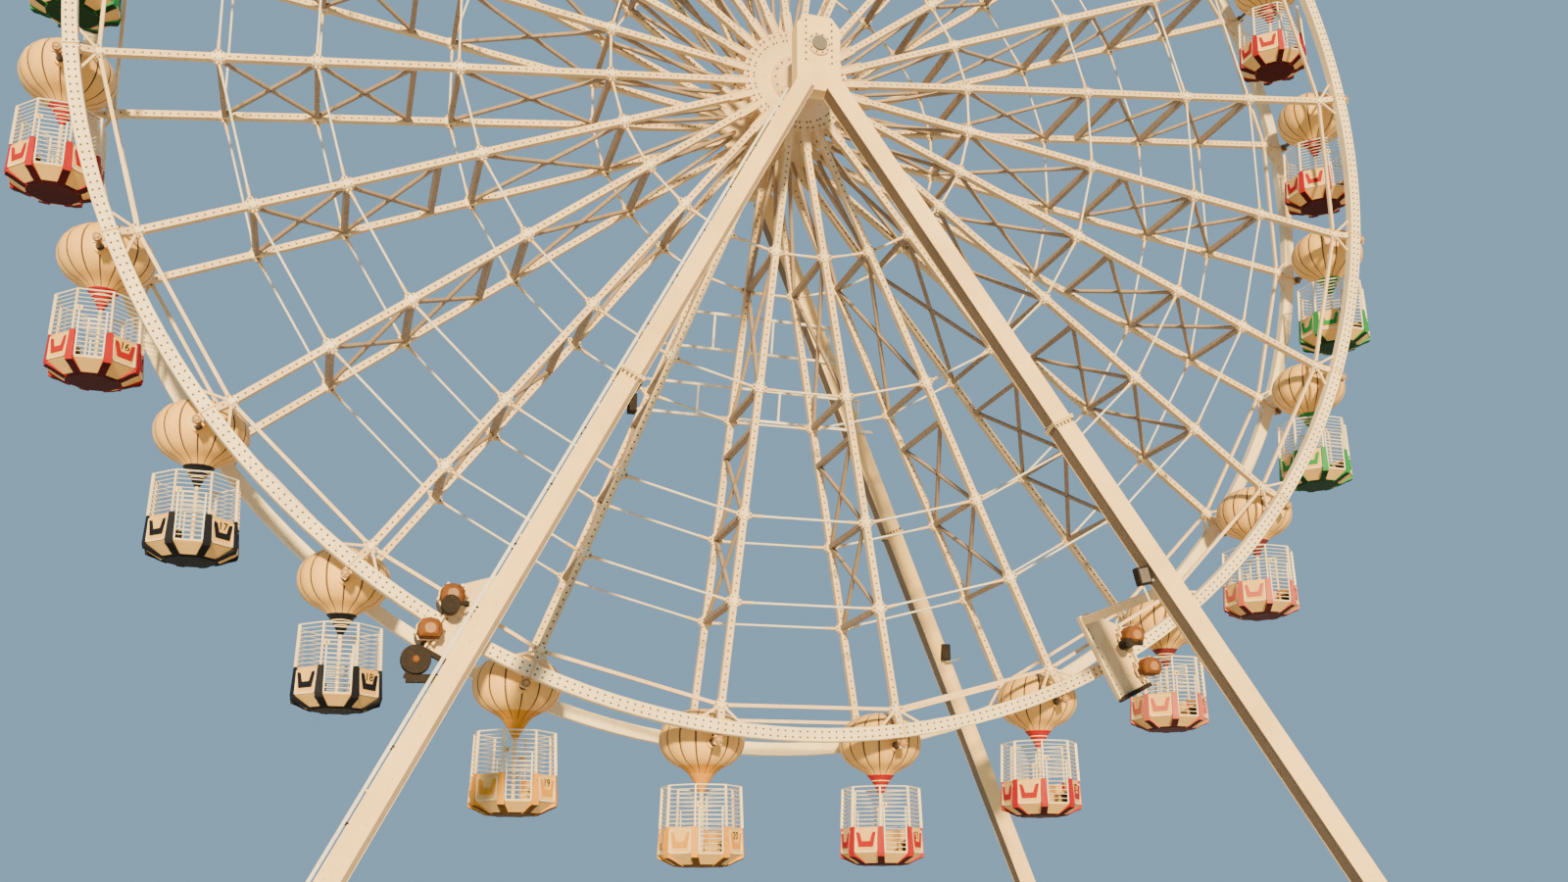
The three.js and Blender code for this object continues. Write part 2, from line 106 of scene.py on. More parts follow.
# Stand
LEG_TOP_Y = 2.5
LEG_MEET = 0.4
FOOT_Y = 7.3
FOOT_X = 10.1
LEG_WIDTH = 0.40
LEG_DEPTH = 0.38
LEG_LEAN = math.atan2(FOOT_X, HUB.z - LEG_MEET)
SPLICE_Z = -8.95
FOOT_PLATE = 0.024
LADDER_STANDOFF = 0.07
LADDER_HALF = 0.18
RUNG_SPACING = 0.27
BEAM_HEIGHT = 0.35
SIDE_BEAM_WIDTH = 0.64
STIFFENER_STEPS = 12

# Gondola, measured from its own axle; outlines are (radius, height) pairs
AXLE_RADIUS = 15.25
GORES = 16
GORE_STEPS = 4
SEAM = 0.055
BALLOON = [
    (0.15, 0.78), (0.34, 0.75), (0.55, 0.67), (0.73, 0.54), (0.845, 0.38), (0.893, 0.23), (0.90, 0.12),
    (0.885, 0.0), (0.84, -0.12), (0.77, -0.22), (0.69, -0.30), (0.61, -0.36), (0.50, -0.41), (0.41, -0.46),
    (0.335, -0.51), (0.275, -0.57),
]
FLARE = [(0.275, -0.57), (0.225, -0.64), (0.165, -0.73), (0.115, -0.82), (0.075, -0.90), (0.05, -0.95)]
FLARE_LIP = [(0.24, -0.61), (0.282, -0.575), (0.292, -0.558), (0.24, -0.55)]
FLARE_RINGS = ((0.205, -0.68), (0.143, -0.775))
POLE_RADIUS = 0.042
TUB_TOP = -1.70
TUB_WAIST = -2.22
TUB_BOTTOM = -2.455
TUB_TOP_REACH = 0.78
TUB_WAIST_REACH = 0.805
TUB_BOTTOM_REACH = 0.46
PANEL_RISE = 0.022
SEAT_HEIGHT = 0.24
CAGE_TOP = -0.84
CAGE_TOP_REACH = 0.755
CAGE_FOOT_REACH = 0.785
CAGE_BARS = 10
DOOR_TOP = -1.27
DOOR_HALF = 0.245
DOOR_BARS = 10
FACES = 8
FACE_STEP = 2 * math.pi / FACES
TO_CORNER = 1 / math.cos(FACE_STEP / 2)
DOOR_FACES = (2, 6)
NUMBER_FACES = (7, 3)
DIGIT_SIZE = 0.22
SCHEMES = ("green", "red", "navy", "yellow", "red", "pink")
TINTED_GORES = ("yellow",)
TINT_START = -0.40

# Friction drives
DRIVE_ANGLE = math.radians(29.5)
DRIVE_RADII = {"inner": 14.624, "outer": 15.3904}
TYRE_RADIUS = 0.23
TYRE_WIDTH = 0.08
TYRE_Y = -1.424
MOTOR_FRONT_Y = -2.49
HOOD = [(0.23, -0.06), (0.215, 0.09), (0.14, 0.185), (0.0, 0.215), (-0.14, 0.185), (-0.215, 0.09),
        (-0.23, -0.06), (-0.18, -0.16), (0.18, -0.16)]
PLATE_FRONT_Y = -2.03
PLATE_BACK_Y = -1.97
PLATE_REACHES = (-0.12, 0.72)
PLATE_CUT = 0.55
PLATE_BOLTS = 9
DRIVE_PLATE_DOWNS = (13.83, 15.82)
DRIVE_BEAM = 0.18
DRIVE_BEAM_DOWN = 13.95
DRIVE_BEAM_INSET = 0.02
DRIVE_SEAT = 0.06
REEL = Vector((-7.79, -2.20, -13.94))

# Bolt heads as (radius, height) pairs
TINY_BOLT = (0.012, 0.015)
KNUCKLE_BOLT = (0.016, 0.014)
BEARING_BOLT = (0.016, 0.018)
SEAT_BOLT = (0.020, 0.025)
INNER_FLANGE_BOLT = (0.020, 0.03)
PLATE_BOLT = (0.022, 0.03)
LARGE_BOLT = (0.024, 0.03)

# Camera, fitted to points measured in the photograph; the angles are yaw, pitch and roll
CAMERA_PLACE = (-9.397, -29.642, 1.438)
CAMERA_ANGLES = (-18.263, 13.425, 0.336)
FLOOR_REACH = 260.0


def place_object(name, data):
    made = bpy.data.objects.new(name, data)
    bpy.context.scene.collection.objects.link(made)
    return made


class Shape:
    """Faces of several solids gathered into one mesh, each with its own paint."""

    def __init__(self):
        self.points = []
        self.faces = []
        self.paints = []
        self.smooth = []

    def add(self, points, faces, paint, smooth=False):
        start = len(self.points)
        self.points.extend(Vector(point) for point in points)
        self.faces.extend([start + corner for corner in face] for face in faces)
        self.paints.extend([paint] * len(faces))
        self.smooth.extend([smooth] * len(faces))

    def put(self, other, place=Vector(), turn=Matrix.Identity(3)):
        """Takes in a copy of another shape, turned about its origin and then moved to a place."""
        start = len(self.points)
        self.points.extend(place + turn @ point for point in other.points)
        self.faces.extend([start + corner for corner in face] for face in other.faces)
        self.paints.extend(other.paints)
        self.smooth.extend(other.smooth)

    def build(self, name, body, place=Vector(), turn=Matrix.Identity(3), replaced=()):
        mesh = bpy.data.meshes.new(name)
        mesh.from_pydata([place + turn @ point for point in self.points], [], self.faces)
        order = sorted(set(self.paints))
        for paint in order:
            mesh.materials.append(material(paint))
        mesh.polygons.foreach_set("material_index", [order.index(paint) for paint in self.paints])
        mesh.polygons.foreach_set("use_smooth", self.smooth)
        mesh.update()
        piece = place_object(name, mesh)
        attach(piece, body)
        if replaced:
            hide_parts(*replaced)


# Solids
def on_circle(radius, angle):
    return radius * math.cos(angle), radius * math.sin(angle)


def carried(value, start, end, first, last):
    """Carries a value between start and end over to its place between first and last."""
    return first + (last - first) * (value - start) / (end - start)


def facing(side):
    """Turns what points up so that it points to the rear for 1, to the front for -1."""
    return Matrix.Rotation(math.radians(-90 * side), 3, "X")


def ring_faces(rings, count, closed_ends=True):
    """Faces between rings of count points each, and across the first and last ring."""
    faces = []
    for ring in range(rings - 1):
        for index in range(count):
            following = (index + 1) % count
            low = ring * count
            high = low + count
            faces.append((low + index, low + following, high + following, high + index))
    if closed_ends:
        faces.append(tuple(reversed(range(count))))
        faces.append(tuple(range((rings - 1) * count, rings * count)))
    return faces


def cross_axes(start, end, side):
    """Two directions square to a line, the first of them towards the side."""
    along = (end - start).normalized()
    third = along.cross(side).normalized()
    return third.cross(along).normalized(), third


def bar(shape, start, end, width, depth, paint, side=BACK, chamfer=0.0):
    """A bar whose depth runs towards the side direction, with cut corners if chamfer is set."""
    start, end = Vector(start), Vector(end)
    second, third = cross_axes(start, end, side)
    outline = []
    for a, b in ((1, 1), (-1, 1), (-1, -1), (1, -1)):
        cut = [(a * depth / 2, b * (width / 2 - chamfer)), (a * (depth / 2 - chamfer), b * width / 2)]
        outline.extend(cut if a == b else cut[::-1])
    outline = list(dict.fromkeys(outline))
    points = [middle + second * a + third * b for middle in (start, end) for a, b in outline]
    shape.add(points, ring_faces(2, len(outline)), paint)


def rod(shape, start, end, radius, paint, sides=8, end_radius=None, closed=True):
    """A round bar, or a cone where it ends in another radius."""
    start, end = Vector(start), Vector(end)
    side = BACK if abs((end - start).normalized().y) < 0.9 else ACROSS
    second, third = cross_axes(start, end, side)
    points = []
    for centre, size in ((start, radius), (end, end_radius or radius)):
        for index in range(sides):
            a, b = on_circle(size, 2 * math.pi * index / sides)
            points.append(centre + second * a + third * b)
    faces = ring_faces(2, sides)
    shape.add(points, faces[:sides], paint, True)
    if closed:
        shape.add(points, faces[sides:], paint)


def drum(shape, centre, direction, near, far, radius, paint, sides, end_radius=None):
    """A disc or cone about a line through centre, between two distances along it."""
    rod(shape, centre + direction * near, centre + direction * far, radius, paint, sides, end_radius)


def lathe(shape, profile, sides, paint, phase=0.0, smooth=True):
    """A body turned about Z from (radius, height) pairs; a radius of 0 closes it."""
    points = []
    rings = []
    for radius, height in profile:
        count = sides if radius else 1
        rings.append([len(points) + index % count for index in range(sides)])
        for index in range(count):
            points.append((*on_circle(radius, phase + 2 * math.pi * index / sides), height))
    faces = []
    for low, high in zip(rings, rings[1:]):
        for index in range(sides):
            following = (index + 1) % sides
            corners = [low[index], low[following], high[following], high[index]]
            faces.append(tuple(dict.fromkeys(corners)))
    shape.add(points, faces, paint, smooth)


def prism(shape, outline, place, near, far, paint):
    """An outline carried from near to far; place makes a point of an outline pair and a depth."""
    points = [place(*pair, depth) for depth in (near, far) for pair in outline]
    shape.add(points, ring_faces(2, len(outline)), paint)


def box(shape, centre, size, paint, turn=Matrix.Identity(3), chamfer=0.0):
    """A box of width, depth and height, turned about its centre."""
    centre = Vector(centre)
    reach = turn @ Vector((size[0] / 2, 0, 0))
    bar(shape, centre - reach, centre + reach, size[2], size[1], paint, turn @ BACK, chamfer)


def bolt(shape, centre, direction, size, paint="steel"):
    radius, height = size
    rod(shape, centre, Vector(centre) + direction * height, radius, paint, 6)


def bolt_circle(shape, centre, direction, reach, count, size, paint="steel", phase=0.0):
    """Bolts in a circle about a level or an upright line."""
    second = BACK if direction.z else UP
    for index in range(count):
        a, b = on_circle(reach, phase + 2 * math.pi * index / count)
        bolt(shape, centre + ACROSS * a + second * b, direction, size, paint)


# Materials
class Graph:
    """The nodes of one material, made step by step from a new material's shader."""

    def __init__(self, name):
        self.material = bpy.data.materials.new(name)
        self.material.use_nodes = True
        self.nodes = self.material.node_tree.nodes
        self.shader = self.nodes["Principled BSDF"]
        self.places = self.nodes.new("ShaderNodeTexCoord").outputs["Object"]

    def feed(self, socket, value):
        """Links an output to a node's input, or sets the input to a plain value or colour."""
        if isinstance(value, bpy.types.NodeSocket):
            self.material.node_tree.links.new(value, socket)
        elif socket.type == "RGBA":
            socket.default_value = (*value, 1.0)
        else:
            socket.default_value = value

    def node(self, kind, inputs):
        made = self.nodes.new("ShaderNode" + kind)
        for name, value in inputs.items():
            self.feed(made.inputs[name], value)
        return made

    def noise(self, scale, detail, places=None, roughness=0.55):
        inputs = {"Scale": scale, "Detail": detail, "Roughness": roughness, "Vector": places or self.places}
        return self.node("TexNoise", inputs).outputs["Fac"]

    def ramp(self, factor, low, high):
        return self.node("MapRange", {"Value": factor, "From Min": low, "From Max": high}).outputs["Result"]

    def mixed(self, factor, first, second):
        made = self.node("Mix", {})
        made.data_type = "RGBA"
        self.feed(made.inputs["Factor"], factor)
        colours = [entry for entry in made.inputs if entry.type == "RGBA"]
        for socket, value in zip(colours, (first, second)):
            self.feed(socket, value)
        return [entry for entry in made.outputs if entry.type == "RGBA"][0]


def shade(colour, amount):
    return tuple(channel * amount for channel in colour)


def surface(name, colour, roughness, dirt, dirt_share, metallic=0.0, grain=18.0, bump=0.15, shine=0.5):
    """Paint, rubber or steel with tonal drift, streaks of dirt, specks of rust and a fine bump."""
    graph = Graph(name)
    stretched = graph.node("Mapping", {"Scale": (5.0, 5.0, 0.9), "Vector": graph.places}).outputs["Vector"]
    drift = graph.ramp(graph.noise(0.7, 3.0), 0.3, 0.7)
    tone = graph.mixed(drift, shade(colour, 0.86), shade(colour, 1.06))
    streaks = graph.noise(1.6, 5.0, stretched, 0.65)
    stained = graph.mixed(graph.ramp(streaks, 0.52, 0.52 + 0.30 / dirt_share), tone, dirt)
    specks = graph.ramp(graph.noise(grain, 4.0), 0.62, 0.74)
    rough = {"Value": streaks, "To Min": roughness - 0.10, "To Max": min(roughness + 0.18, 1.0)}
    raised = {"Strength": bump, "Distance": 0.004, "Height": graph.noise(grain * 3, 3.0)}
    looks = {
        "Metallic": metallic,
        "Specular IOR Level": shine,
        "Base Color": graph.mixed(specks, stained, shade(dirt, 1.2)),
        "Roughness": graph.node("MapRange", rough).outputs["Result"],
        "Normal": graph.node("Bump", raised).outputs["Normal"],
    }
    for socket, value in looks.items():
        graph.feed(graph.shader.inputs[socket], value)
    return graph.material


# Paints: colour, roughness, colour of the dirt and its share
PAINTS = {
    "cream": ((0.84, 0.60, 0.31), 0.5, (0.30, 0.17, 0.08), 0.4),
    "cream_clean": ((0.95, 0.76, 0.46), 0.45, (0.45, 0.29, 0.15), 0.2),
    "leg_cream": ((0.97, 0.67, 0.29), 0.5, (0.48, 0.31, 0.16), 0.22),
    # A dark paint for the legs' inner sides and the strips beside them: painted shade.
    "leg_edge": ((0.24, 0.165, 0.10), 0.65, (0.12, 0.08, 0.05), 0.5),
    # A dark grey-brown for the braces and the covers on the cross posts: painted shade, where they sit back
    # in shadow between the chords.
    "brace": ((0.36, 0.255, 0.165), 0.6, (0.13, 0.085, 0.05), 0.7),
    "white": ((0.80, 0.75, 0.65), 0.45, (0.42, 0.33, 0.23), 0.25),
    "shell": ((0.95, 0.54, 0.14), 0.5, (0.42, 0.23, 0.12), 0.28),
    "panel": ((0.86, 0.52, 0.15), 0.5, (0.48, 0.25, 0.10), 0.3),
    "seam": ((0.10, 0.045, 0.028), 0.7, (0.16, 0.12, 0.08), 0.5),
    "steel": ((0.16, 0.145, 0.13), 0.5, (0.23, 0.085, 0.03), 0.45),
    "grey": ((0.30, 0.31, 0.32), 0.6, (0.17, 0.13, 0.09), 0.5),
    "dark": ((0.022, 0.016, 0.014), 0.7, (0.06, 0.035, 0.02), 0.5),
    "lamp": ((0.10, 0.075, 0.055), 0.35, (0.22, 0.16, 0.10), 0.5),
    "orange": ((0.19, 0.065, 0.016), 0.7, (0.045, 0.016, 0.008), 1.4),
    "bearing": ((0.34, 0.15, 0.05), 0.55, (0.09, 0.045, 0.025), 0.8),
    "gilt": ((0.52, 0.33, 0.11), 0.5, (0.16, 0.08, 0.03), 0.6),
    "rubber": ((0.035, 0.033, 0.032), 0.85, (0.12, 0.09, 0.07), 0.4),
    "digits": ((0.012, 0.008, 0.008), 0.6, (0.04, 0.03, 0.02), 0.2),
}
# What sets some of the paints apart from the rest
TOUCHES = {
    "shell": dict(grain=26.0, bump=0.08),
    "panel": dict(grain=26.0, bump=0.08),
    "steel": dict(metallic=0.5),
    "dark": dict(shine=0.15),
    "orange": dict(grain=7.0, shine=0.2),
    "rubber": dict(bump=0.35),
    "digits": dict(shine=0.1),
}
# Accent colours of the gondolas: bright for ribs and shields, and a darkened copy as painted shade for the
# tub's underside and the fins' lower edges
ACCENTS = {
    "green": ((0.015, 0.25, 0.055), (0.006, 0.040, 0.014)),
    "red": ((0.40, 0.008, 0.010), (0.050, 0.005, 0.008)),
    "navy": ((0.006, 0.007, 0.014), (0.004, 0.004, 0.007)),
    "yellow": ((0.74, 0.33, 0.02), (0.10, 0.045, 0.008)),
    "pink": ((0.56, 0.12, 0.085), (0.07, 0.012, 0.013)),
}
PINK_FUNNEL = (0.16, 0.02, 0.025)
for accent, (bright, shaded_copy) in ACCENTS.items():
    funnel = PINK_FUNNEL if accent == "pink" else bright
    for name, colour, roughness, dirt, dirt_share, shine in (
        (accent, bright, 0.55, 0.35, 0.4, 0.2),
        # The darkened copy of the accent: painted shade.
        (accent + "_deep", shaded_copy, 0.6, 2.2, 0.4, 0.1),
        (accent + "_funnel", funnel, 0.5, 0.4, 0.5, 0.25),
    ):
        PAINTS[name] = (colour, roughness, shade(colour, dirt), dirt_share)
        TOUCHES[name] = dict(shine=shine)


@cache
def material(paint):
    return surface(paint, *PAINTS[paint], **TOUCHES.get(paint, {}))


# Places on the wheel
def spoke_angle(index):
    return FIRST_SPOKE + SPOKE_STEP * index


def wheel_axes(angle):
    """The direction away from the hub and the one along the rim, towards the next spoke."""
    radial = Vector((math.cos(angle), 0, math.sin(angle)))
    tangent = Vector((-math.sin(angle), 0, math.cos(angle)))
    return radial, tangent


def wheel_point(radius, angle, y, across=0.0):
    """A point of the wheel at rest; across runs along the rim, towards the next spoke."""
    radial, tangent = wheel_axes(angle)
    return HUB + radial * radius + tangent * across + BACK * y


def half_at(radius):
    """Half the distance between a spoke's chords, from the stations on either side."""
    stations = list(STATIONS.values())
    for (inner, narrow), (outer, wide) in zip(stations, stations[1:]):
        if inner <= radius <= outer:
            return carried(radius, inner, outer, narrow, wide)


# Rims
def rim_section(side):
    """The rim's cross section as (radius, y) pairs, with a cut at each corner."""
    cut = 0.012
    step = side * cut
    low, high = RIM_INNER, RIM_OUTER
    near, far = side * RIM_INBOARD, side * RIM_OUTBOARD
    return [(low, near + step), (low, far - step), (low + cut, far), (high - cut, far),
            (high, far - step), (high, near + step), (high - cut, near), (low + cut, near)]


def add_rim_segment(shape, index, side):
    gap = RIM_JOINT_GAP / RIM_RADIUS
    start = spoke_angle(index) + gap
    end = spoke_angle(index + 1) - gap
    section = rim_section(side)
    points = []
    for step in range(RIM_STEPS + 1):
        angle = start + (end - start) * step / RIM_STEPS
        points.extend(wheel_point(radius, angle, y) for radius, y in section)
    shape.add(points, ring_faces(RIM_STEPS + 1, len(section)), "cream_clean")


def add_rim_joint(shape, index, side):
    """A filler between two lengths of the rim, their end plates, and the bearing of a gondola."""
    angle = spoke_angle(index)
    depth = RIM_OUTBOARD - RIM_INBOARD

    def plate(shift, inside, outside, width, inset, paint):
        ends = [wheel_point(radius, angle, side * (RIM_INBOARD + RIM_OUTBOARD) / 2, shift)
                for radius in (RIM_INNER + inside, RIM_OUTER + outside)]
        bar(shape, *ends, width, depth - inset, paint)

    plate(0.0, 0.005, -0.005, 0.06, 0.05, "cream")
    for shift in (-0.045, 0.045):
        plate(shift, -0.025, 0.004, 0.03, 0.006, "cream_clean")
    add_bearing(shape, angle, side)


def add_bearing(shape, angle, side):
    """The ear beside the rim, and the bearing's cap with gilt bolts round a gilt knob."""
    root = wheel_point(RIM_RADIUS - 0.05, angle, side * EAR_Y)
    tip = wheel_point(EAR_RADIUS - 0.02, angle, side * EAR_Y)
    bar(shape, root, tip, 0.17, 0.056, "cream", chamfer=0.01)
    away = BACK * side
    centre = wheel_point(AXLE_RADIUS, angle, 0)
    drum(shape, centre, away, 1.25, BEARING_FACE, 0.10, "bearing", 10, 0.085)
    drum(shape, centre, away, BEARING_FACE, BEARING_FACE + 0.025, 0.05, "gilt", 12, 0.035)
    bolt_circle(shape, centre + away * (BEARING_FACE - 0.005), away, 0.072, 5, BEARING_BOLT, "gilt", angle)


def lamp_shape(profile):
    lamp = Shape()
    lathe(lamp, profile, 6, "lamp")
    return lamp


def add_rim_lamps(shape, side):
    lamp = lamp_shape(RIM_LAMP)
    count = round(SPOKE_STEP * RIM_RADIUS / LAMP_SPACING)
    for step in range(SPOKES * count):
        angle = spoke_angle((step + 0.5) / count)
        for row in RIM_LAMP_ROWS:
            shape.put(lamp, wheel_point(RIM_RADIUS + row, angle, side * RIM_OUTBOARD), facing(side))


def make_rims():
    for name, side in (("front_rim", FRONT), ("rear_rim", REAR)):
        shape = Shape()
        for index in range(SPOKES):
            add_rim_segment(shape, index, side)
            add_rim_joint(shape, index, side)
        shape.build(name + "_girder", "wheel", replaced=(name,))
        lamps = Shape()
        add_rim_lamps(lamps, side)
        lamps.build(name + "_lamps", "wheel")


# Spokes
def station_point(name, index, side, across=0.0, inset=0.0):
    """A point on a spoke's front or rear chord, moved along the rim or towards the other chord."""
    radius, half = STATIONS[name]
    return wheel_point(radius, spoke_angle(index), side * (half - inset), across)


def add_braces(shape, index):
    """Crossed braces in three bays, a V at the hub, and covers on the cross posts, all in a dark paint that
    is painted shade.
    """
    angle = spoke_angle(index)
    tangent = wheel_axes(angle)[1]
    root = STATIONS["hub"][0] + 0.25

    def inside(name, side):
        return station_point(name, index, side, inset=CHORD / 2)

    lines = [(inside(outer, side), inside(inner, -side))
             for outer, inner in BRACED_BAYS for side in (-1, 1)]
    lines += [(inside("first", side), wheel_point(root, angle, side * 0.12)) for side in (-1, 1)]
    for start, end in lines:
        bar(shape, start, end, BRACE, BRACE * 0.9, "brace", tangent, 0.012)
    # Sleeves over the cross posts paint them dark: painted shade.
    for name in POST_STATIONS:
        bar(shape, inside(name, -1), inside(name, 1), POST_SHADE_COVER, CHORD + 0.004, "brace", tangent)


def add_knuckle(shape, name, index, side):
    """A block round the chord, with a pinned socket on each side and bolts on its outer face."""
    radius, half = STATIONS[name]
    angle = spoke_angle(index)
    tangent = wheel_axes(angle)[1]
    size = FORK_KNUCKLE if name == "fork" else KNUCKLE
    ends = [wheel_point(radius + along, angle, side * half) for along in (-0.115, 0.115)]
    bar(shape, *ends, size, size, "cream_clean", chamfer=0.03)
    for shift in (-1, 1):
        root = wheel_point(radius, angle, side * half, shift * size / 2)
        bar(shape, root, root + tangent * (shift * 0.06), 0.13, 0.10, "cream", chamfer=0.02)
        pin = wheel_point(radius, angle, side * half, shift * (size / 2 + 0.035))
        drum(shape, pin, BACK, -0.075, 0.075, 0.02, "steel", 6)
    for across in (-0.055, 0.055):
        for along in (-0.07, 0.07):
            place = wheel_point(radius + along, angle, side * (half + size / 2), across)
            bolt(shape, place, BACK * side, KNUCKLE_BOLT)


def add_tie(shape, name, index, side):
    """A thin rod to the next spoke, with a sleeve at each end."""
    start = station_point(name, index, side, across=0.12)
    end = station_point(name, index + 1, side, across=-0.12)
    rod(shape, start, end, TIE_RADIUS, "white", 6, closed=False)
    sleeve = (end - start).normalized() * TIE_END
    for root in (start, end - sleeve):
        rod(shape, root, root + sleeve, TIE_RADIUS * 1.35, "cream", 6)


def add_fork_struts(shape, index, side):
    """Two short struts from a spoke's fork, outwards to the rim."""
    angle = spoke_angle(index)
    radius, half = STATIONS["fork"]
    for across in (-0.42, 0.42):
        start = wheel_point(radius + 0.05, angle, side * (half + 0.05), math.copysign(0.07, across))
        end = wheel_point(math.hypot(RIM_INNER, across) - 0.012, angle, side * (RIM_INBOARD + 0.06), across)
        bar(shape, start, end, 0.05, 0.05, "cream")


def add_chord_lamps(shape, index):
    """Lamps on the front chord's front and on both faces of the rear chord, clear of the knuckles."""
    lamp = lamp_shape(CHORD_LAMP)
    length = CHORD_LAMP_END - CHORD_LAMP_START
    count = round(length / LAMP_SPACING)
    knuckles = [radius for name, (radius, _) in STATIONS.items() if name != "between"]
    for step in range(count + 1):
        radius = CHORD_LAMP_START + length * step / count
        if min(abs(radius - place) for place in knuckles) < 0.14:
            continue
        half = half_at(radius)
        for y, side in ((-half, -1), (half, -1), (half, 1)):
            shape.put(lamp, wheel_point(radius, spoke_angle(index), y + side * CHORD / 2), facing(side))


def make_spoke_details():
    braces = Shape()
    knuckles = Shape()
    ties = Shape()
    for index in range(SPOKES):
        add_braces(braces, index)
        for side in (FRONT, REAR):
            for name in TIE_STATIONS + ("fork",):
                add_knuckle(knuckles, name, index, side)
            for name in TIE_STATIONS:
                add_tie(ties, name, index, side)
            add_fork_struts(braces, index, side)
    braces.build("spoke_braces", "wheel")
    knuckles.build("spoke_knuckles", "wheel")
    ties.build("inner_tie_rings", "wheel")
    for quarter in range(4):
        lamps = Shape()
        for index in range(quarter * 6, quarter * 6 + 6):
            add_chord_lamps(lamps, index)
        lamps.build(f"chord_lamps_{quarter + 1}", "wheel")


# Hub
def add_hub_end(shape, side):
    """Two rings of bolts, a pair of cheeks with a pin for each spoke, and the stepped cap."""
    away = BACK * side
    for index in range(SPOKES):
        angle = spoke_angle(index)
        for radius, size in ((1.16, LARGE_BOLT), (1.02, INNER_FLANGE_BOLT)):
            for across in (-0.09, 0.09):
                bolt(shape, wheel_point(radius, angle, side * FLANGE_FACE, across), away, size)
        for across in (-0.085, 0.085):
            start = wheel_point(1.12, angle, side * 1.08, across)
            end = wheel_point(1.75, angle, side * 1.086, across)
            bar(shape, start, end, 0.022, 0.17, "cream")
        pin = [wheel_point(1.48, angle, side * 1.083, across) for across in (-0.11, 0.11)]
        rod(shape, *pin, 0.03, "steel")
    cap = Shape()
    lathe(cap, HUB_CAP, 32, "cream")
    bolt_circle(cap, UP * 0.055, UP, 0.53, 16, PLATE_BOLT)
    shape.put(cap, HUB + away * FLANGE_FACE, facing(side))


def make_hub_details():
    shape = Shape()
    for side in (FRONT, REAR):
        add_hub_end(shape, side)
    for index in range(0, SPOKES, 2):
        angle = spoke_angle(index)
        ends = [wheel_point(0.42, angle, y) for y in (-1.01, 1.01)]
        bar(shape, *ends, 0.03, 0.24, "cream", wheel_axes(angle)[0])
    shape.build("hub_details", "wheel")


# Gondolas
def tub_point(turn, across, reach, height):
    """A point by a face of the octagon, or by a corner at a half; across runs to the right from outside."""
    angle = turn * FACE_STEP
    normal = Vector((math.cos(angle), math.sin(angle), 0))
    tangent = Vector((-math.sin(angle), math.cos(angle), 0))
    return normal * reach + tangent * across + UP * height


def corner_point(corner, reach, height):
    return tub_point(corner + 0.5, 0, reach * TO_CORNER, height)


def edge_rod(shape, corner, reach, height, radius, paint, sides, closed=True):
    """A rod round the octagon from one corner to the next."""
    ends = [corner_point(corner + step, reach, height) for step in (0, 1)]
    rod(shape, *ends, radius, paint, sides, closed=closed)


def wall_reach(height):
    """How far the faces of the tub are from its middle."""
    if height > TUB_WAIST:
        return carried(height, TUB_TOP, TUB_WAIST, TUB_TOP_REACH, TUB_WAIST_REACH)
    return carried(height, TUB_WAIST, TUB_BOTTOM, TUB_WAIST_REACH, TUB_BOTTOM_REACH)


def cage_reach(height):
    return carried(height, TUB_TOP, CAGE_TOP, CAGE_FOOT_REACH, CAGE_TOP_REACH)


def wall_point(turn, across, height, gap):
    reach = wall_reach(height) * (TO_CORNER if turn % 1 else 1)
    return tub_point(turn, across, reach + gap, height)


def wall_plate(shape, turn, outline, inner, outer, paint):
    """A plate that follows a wall or a corner of the tub, between two distances from it."""
    prism(shape, outline, partial(wall_point, turn), inner, outer, paint)


def trapezoid(half_top, top, half_foot, foot):
    return [(-half_top, top), (half_top, top), (half_foot, foot), (-half_foot, foot)]


def add_balloon(shape, accent):
    """Gores between dark seams; on some gondolas their lower ends have the accent colour."""
    shares = [0.0] + [SEAM + (1 - 2 * SEAM) * step / GORE_STEPS for step in range(GORE_STEPS + 1)]
    columns = [(gore, share) for gore in range(GORES) for share in shares]
    points = []
    for radius, height in BALLOON:
        for gore, share in columns:
            swell = 0.016 * math.sin(math.pi * share) if radius > 0.3 else 0.0
            angle = 2 * math.pi * (gore + share) / GORES
            points.append((*on_circle(radius * (0.985 + swell), angle), height))
    count = len(columns)
    gathered = {"shell": [], "seam": [], accent + "_funnel": []}
    for order, face in enumerate(ring_faces(len(BALLOON), count, False)):
        ring, index = divmod(order, count)
        at_seam = columns[index][1] == 0.0 or columns[(index + 1) % count][1] == 0.0
        tinted = accent in TINTED_GORES and BALLOON[ring][1] < TINT_START
        paint = "seam" if at_seam else accent + "_funnel" if tinted else "shell"
        gathered[paint].append(face)
    for paint, faces in gathered.items():
        shape.add(points, faces, paint, True)
    shape.add(points[:count], [tuple(range(count))], "shell")
    rod(shape, UP * 0.77, UP * 0.785, 0.10, "seam", 12, 0.06)


def add_funnel(shape, accent):
    """The flare below the balloon, in the accent colour; most have a lip and thin light rings."""
    lathe(shape, FLARE[::-1], 24, accent + "_funnel")
    if accent in TINTED_GORES:
        return
    lathe(shape, FLARE_LIP, 24, accent + "_funnel")
    for radius, height in FLARE_RINGS:
        ring = [(radius - 0.03, height - 0.012), (radius, height - 0.010), (radius + 0.006, height + 0.010),
                (radius - 0.03, height + 0.012)]
        lathe(shape, ring, 24, "cream")


def add_axle(shape):
    """The axle's ends, each with a collar and a washer against the balloon."""
    for away in (-BACK, BACK):
        rod(shape, away * 0.80, away * 1.255, 0.055, "steel", 10)
        rod(shape, away * 0.82, away * 0.91, 0.13, "shell", 16, 0.12)
        rod(shape, away * 0.91, away * 0.93, 0.08, "seam", 12)


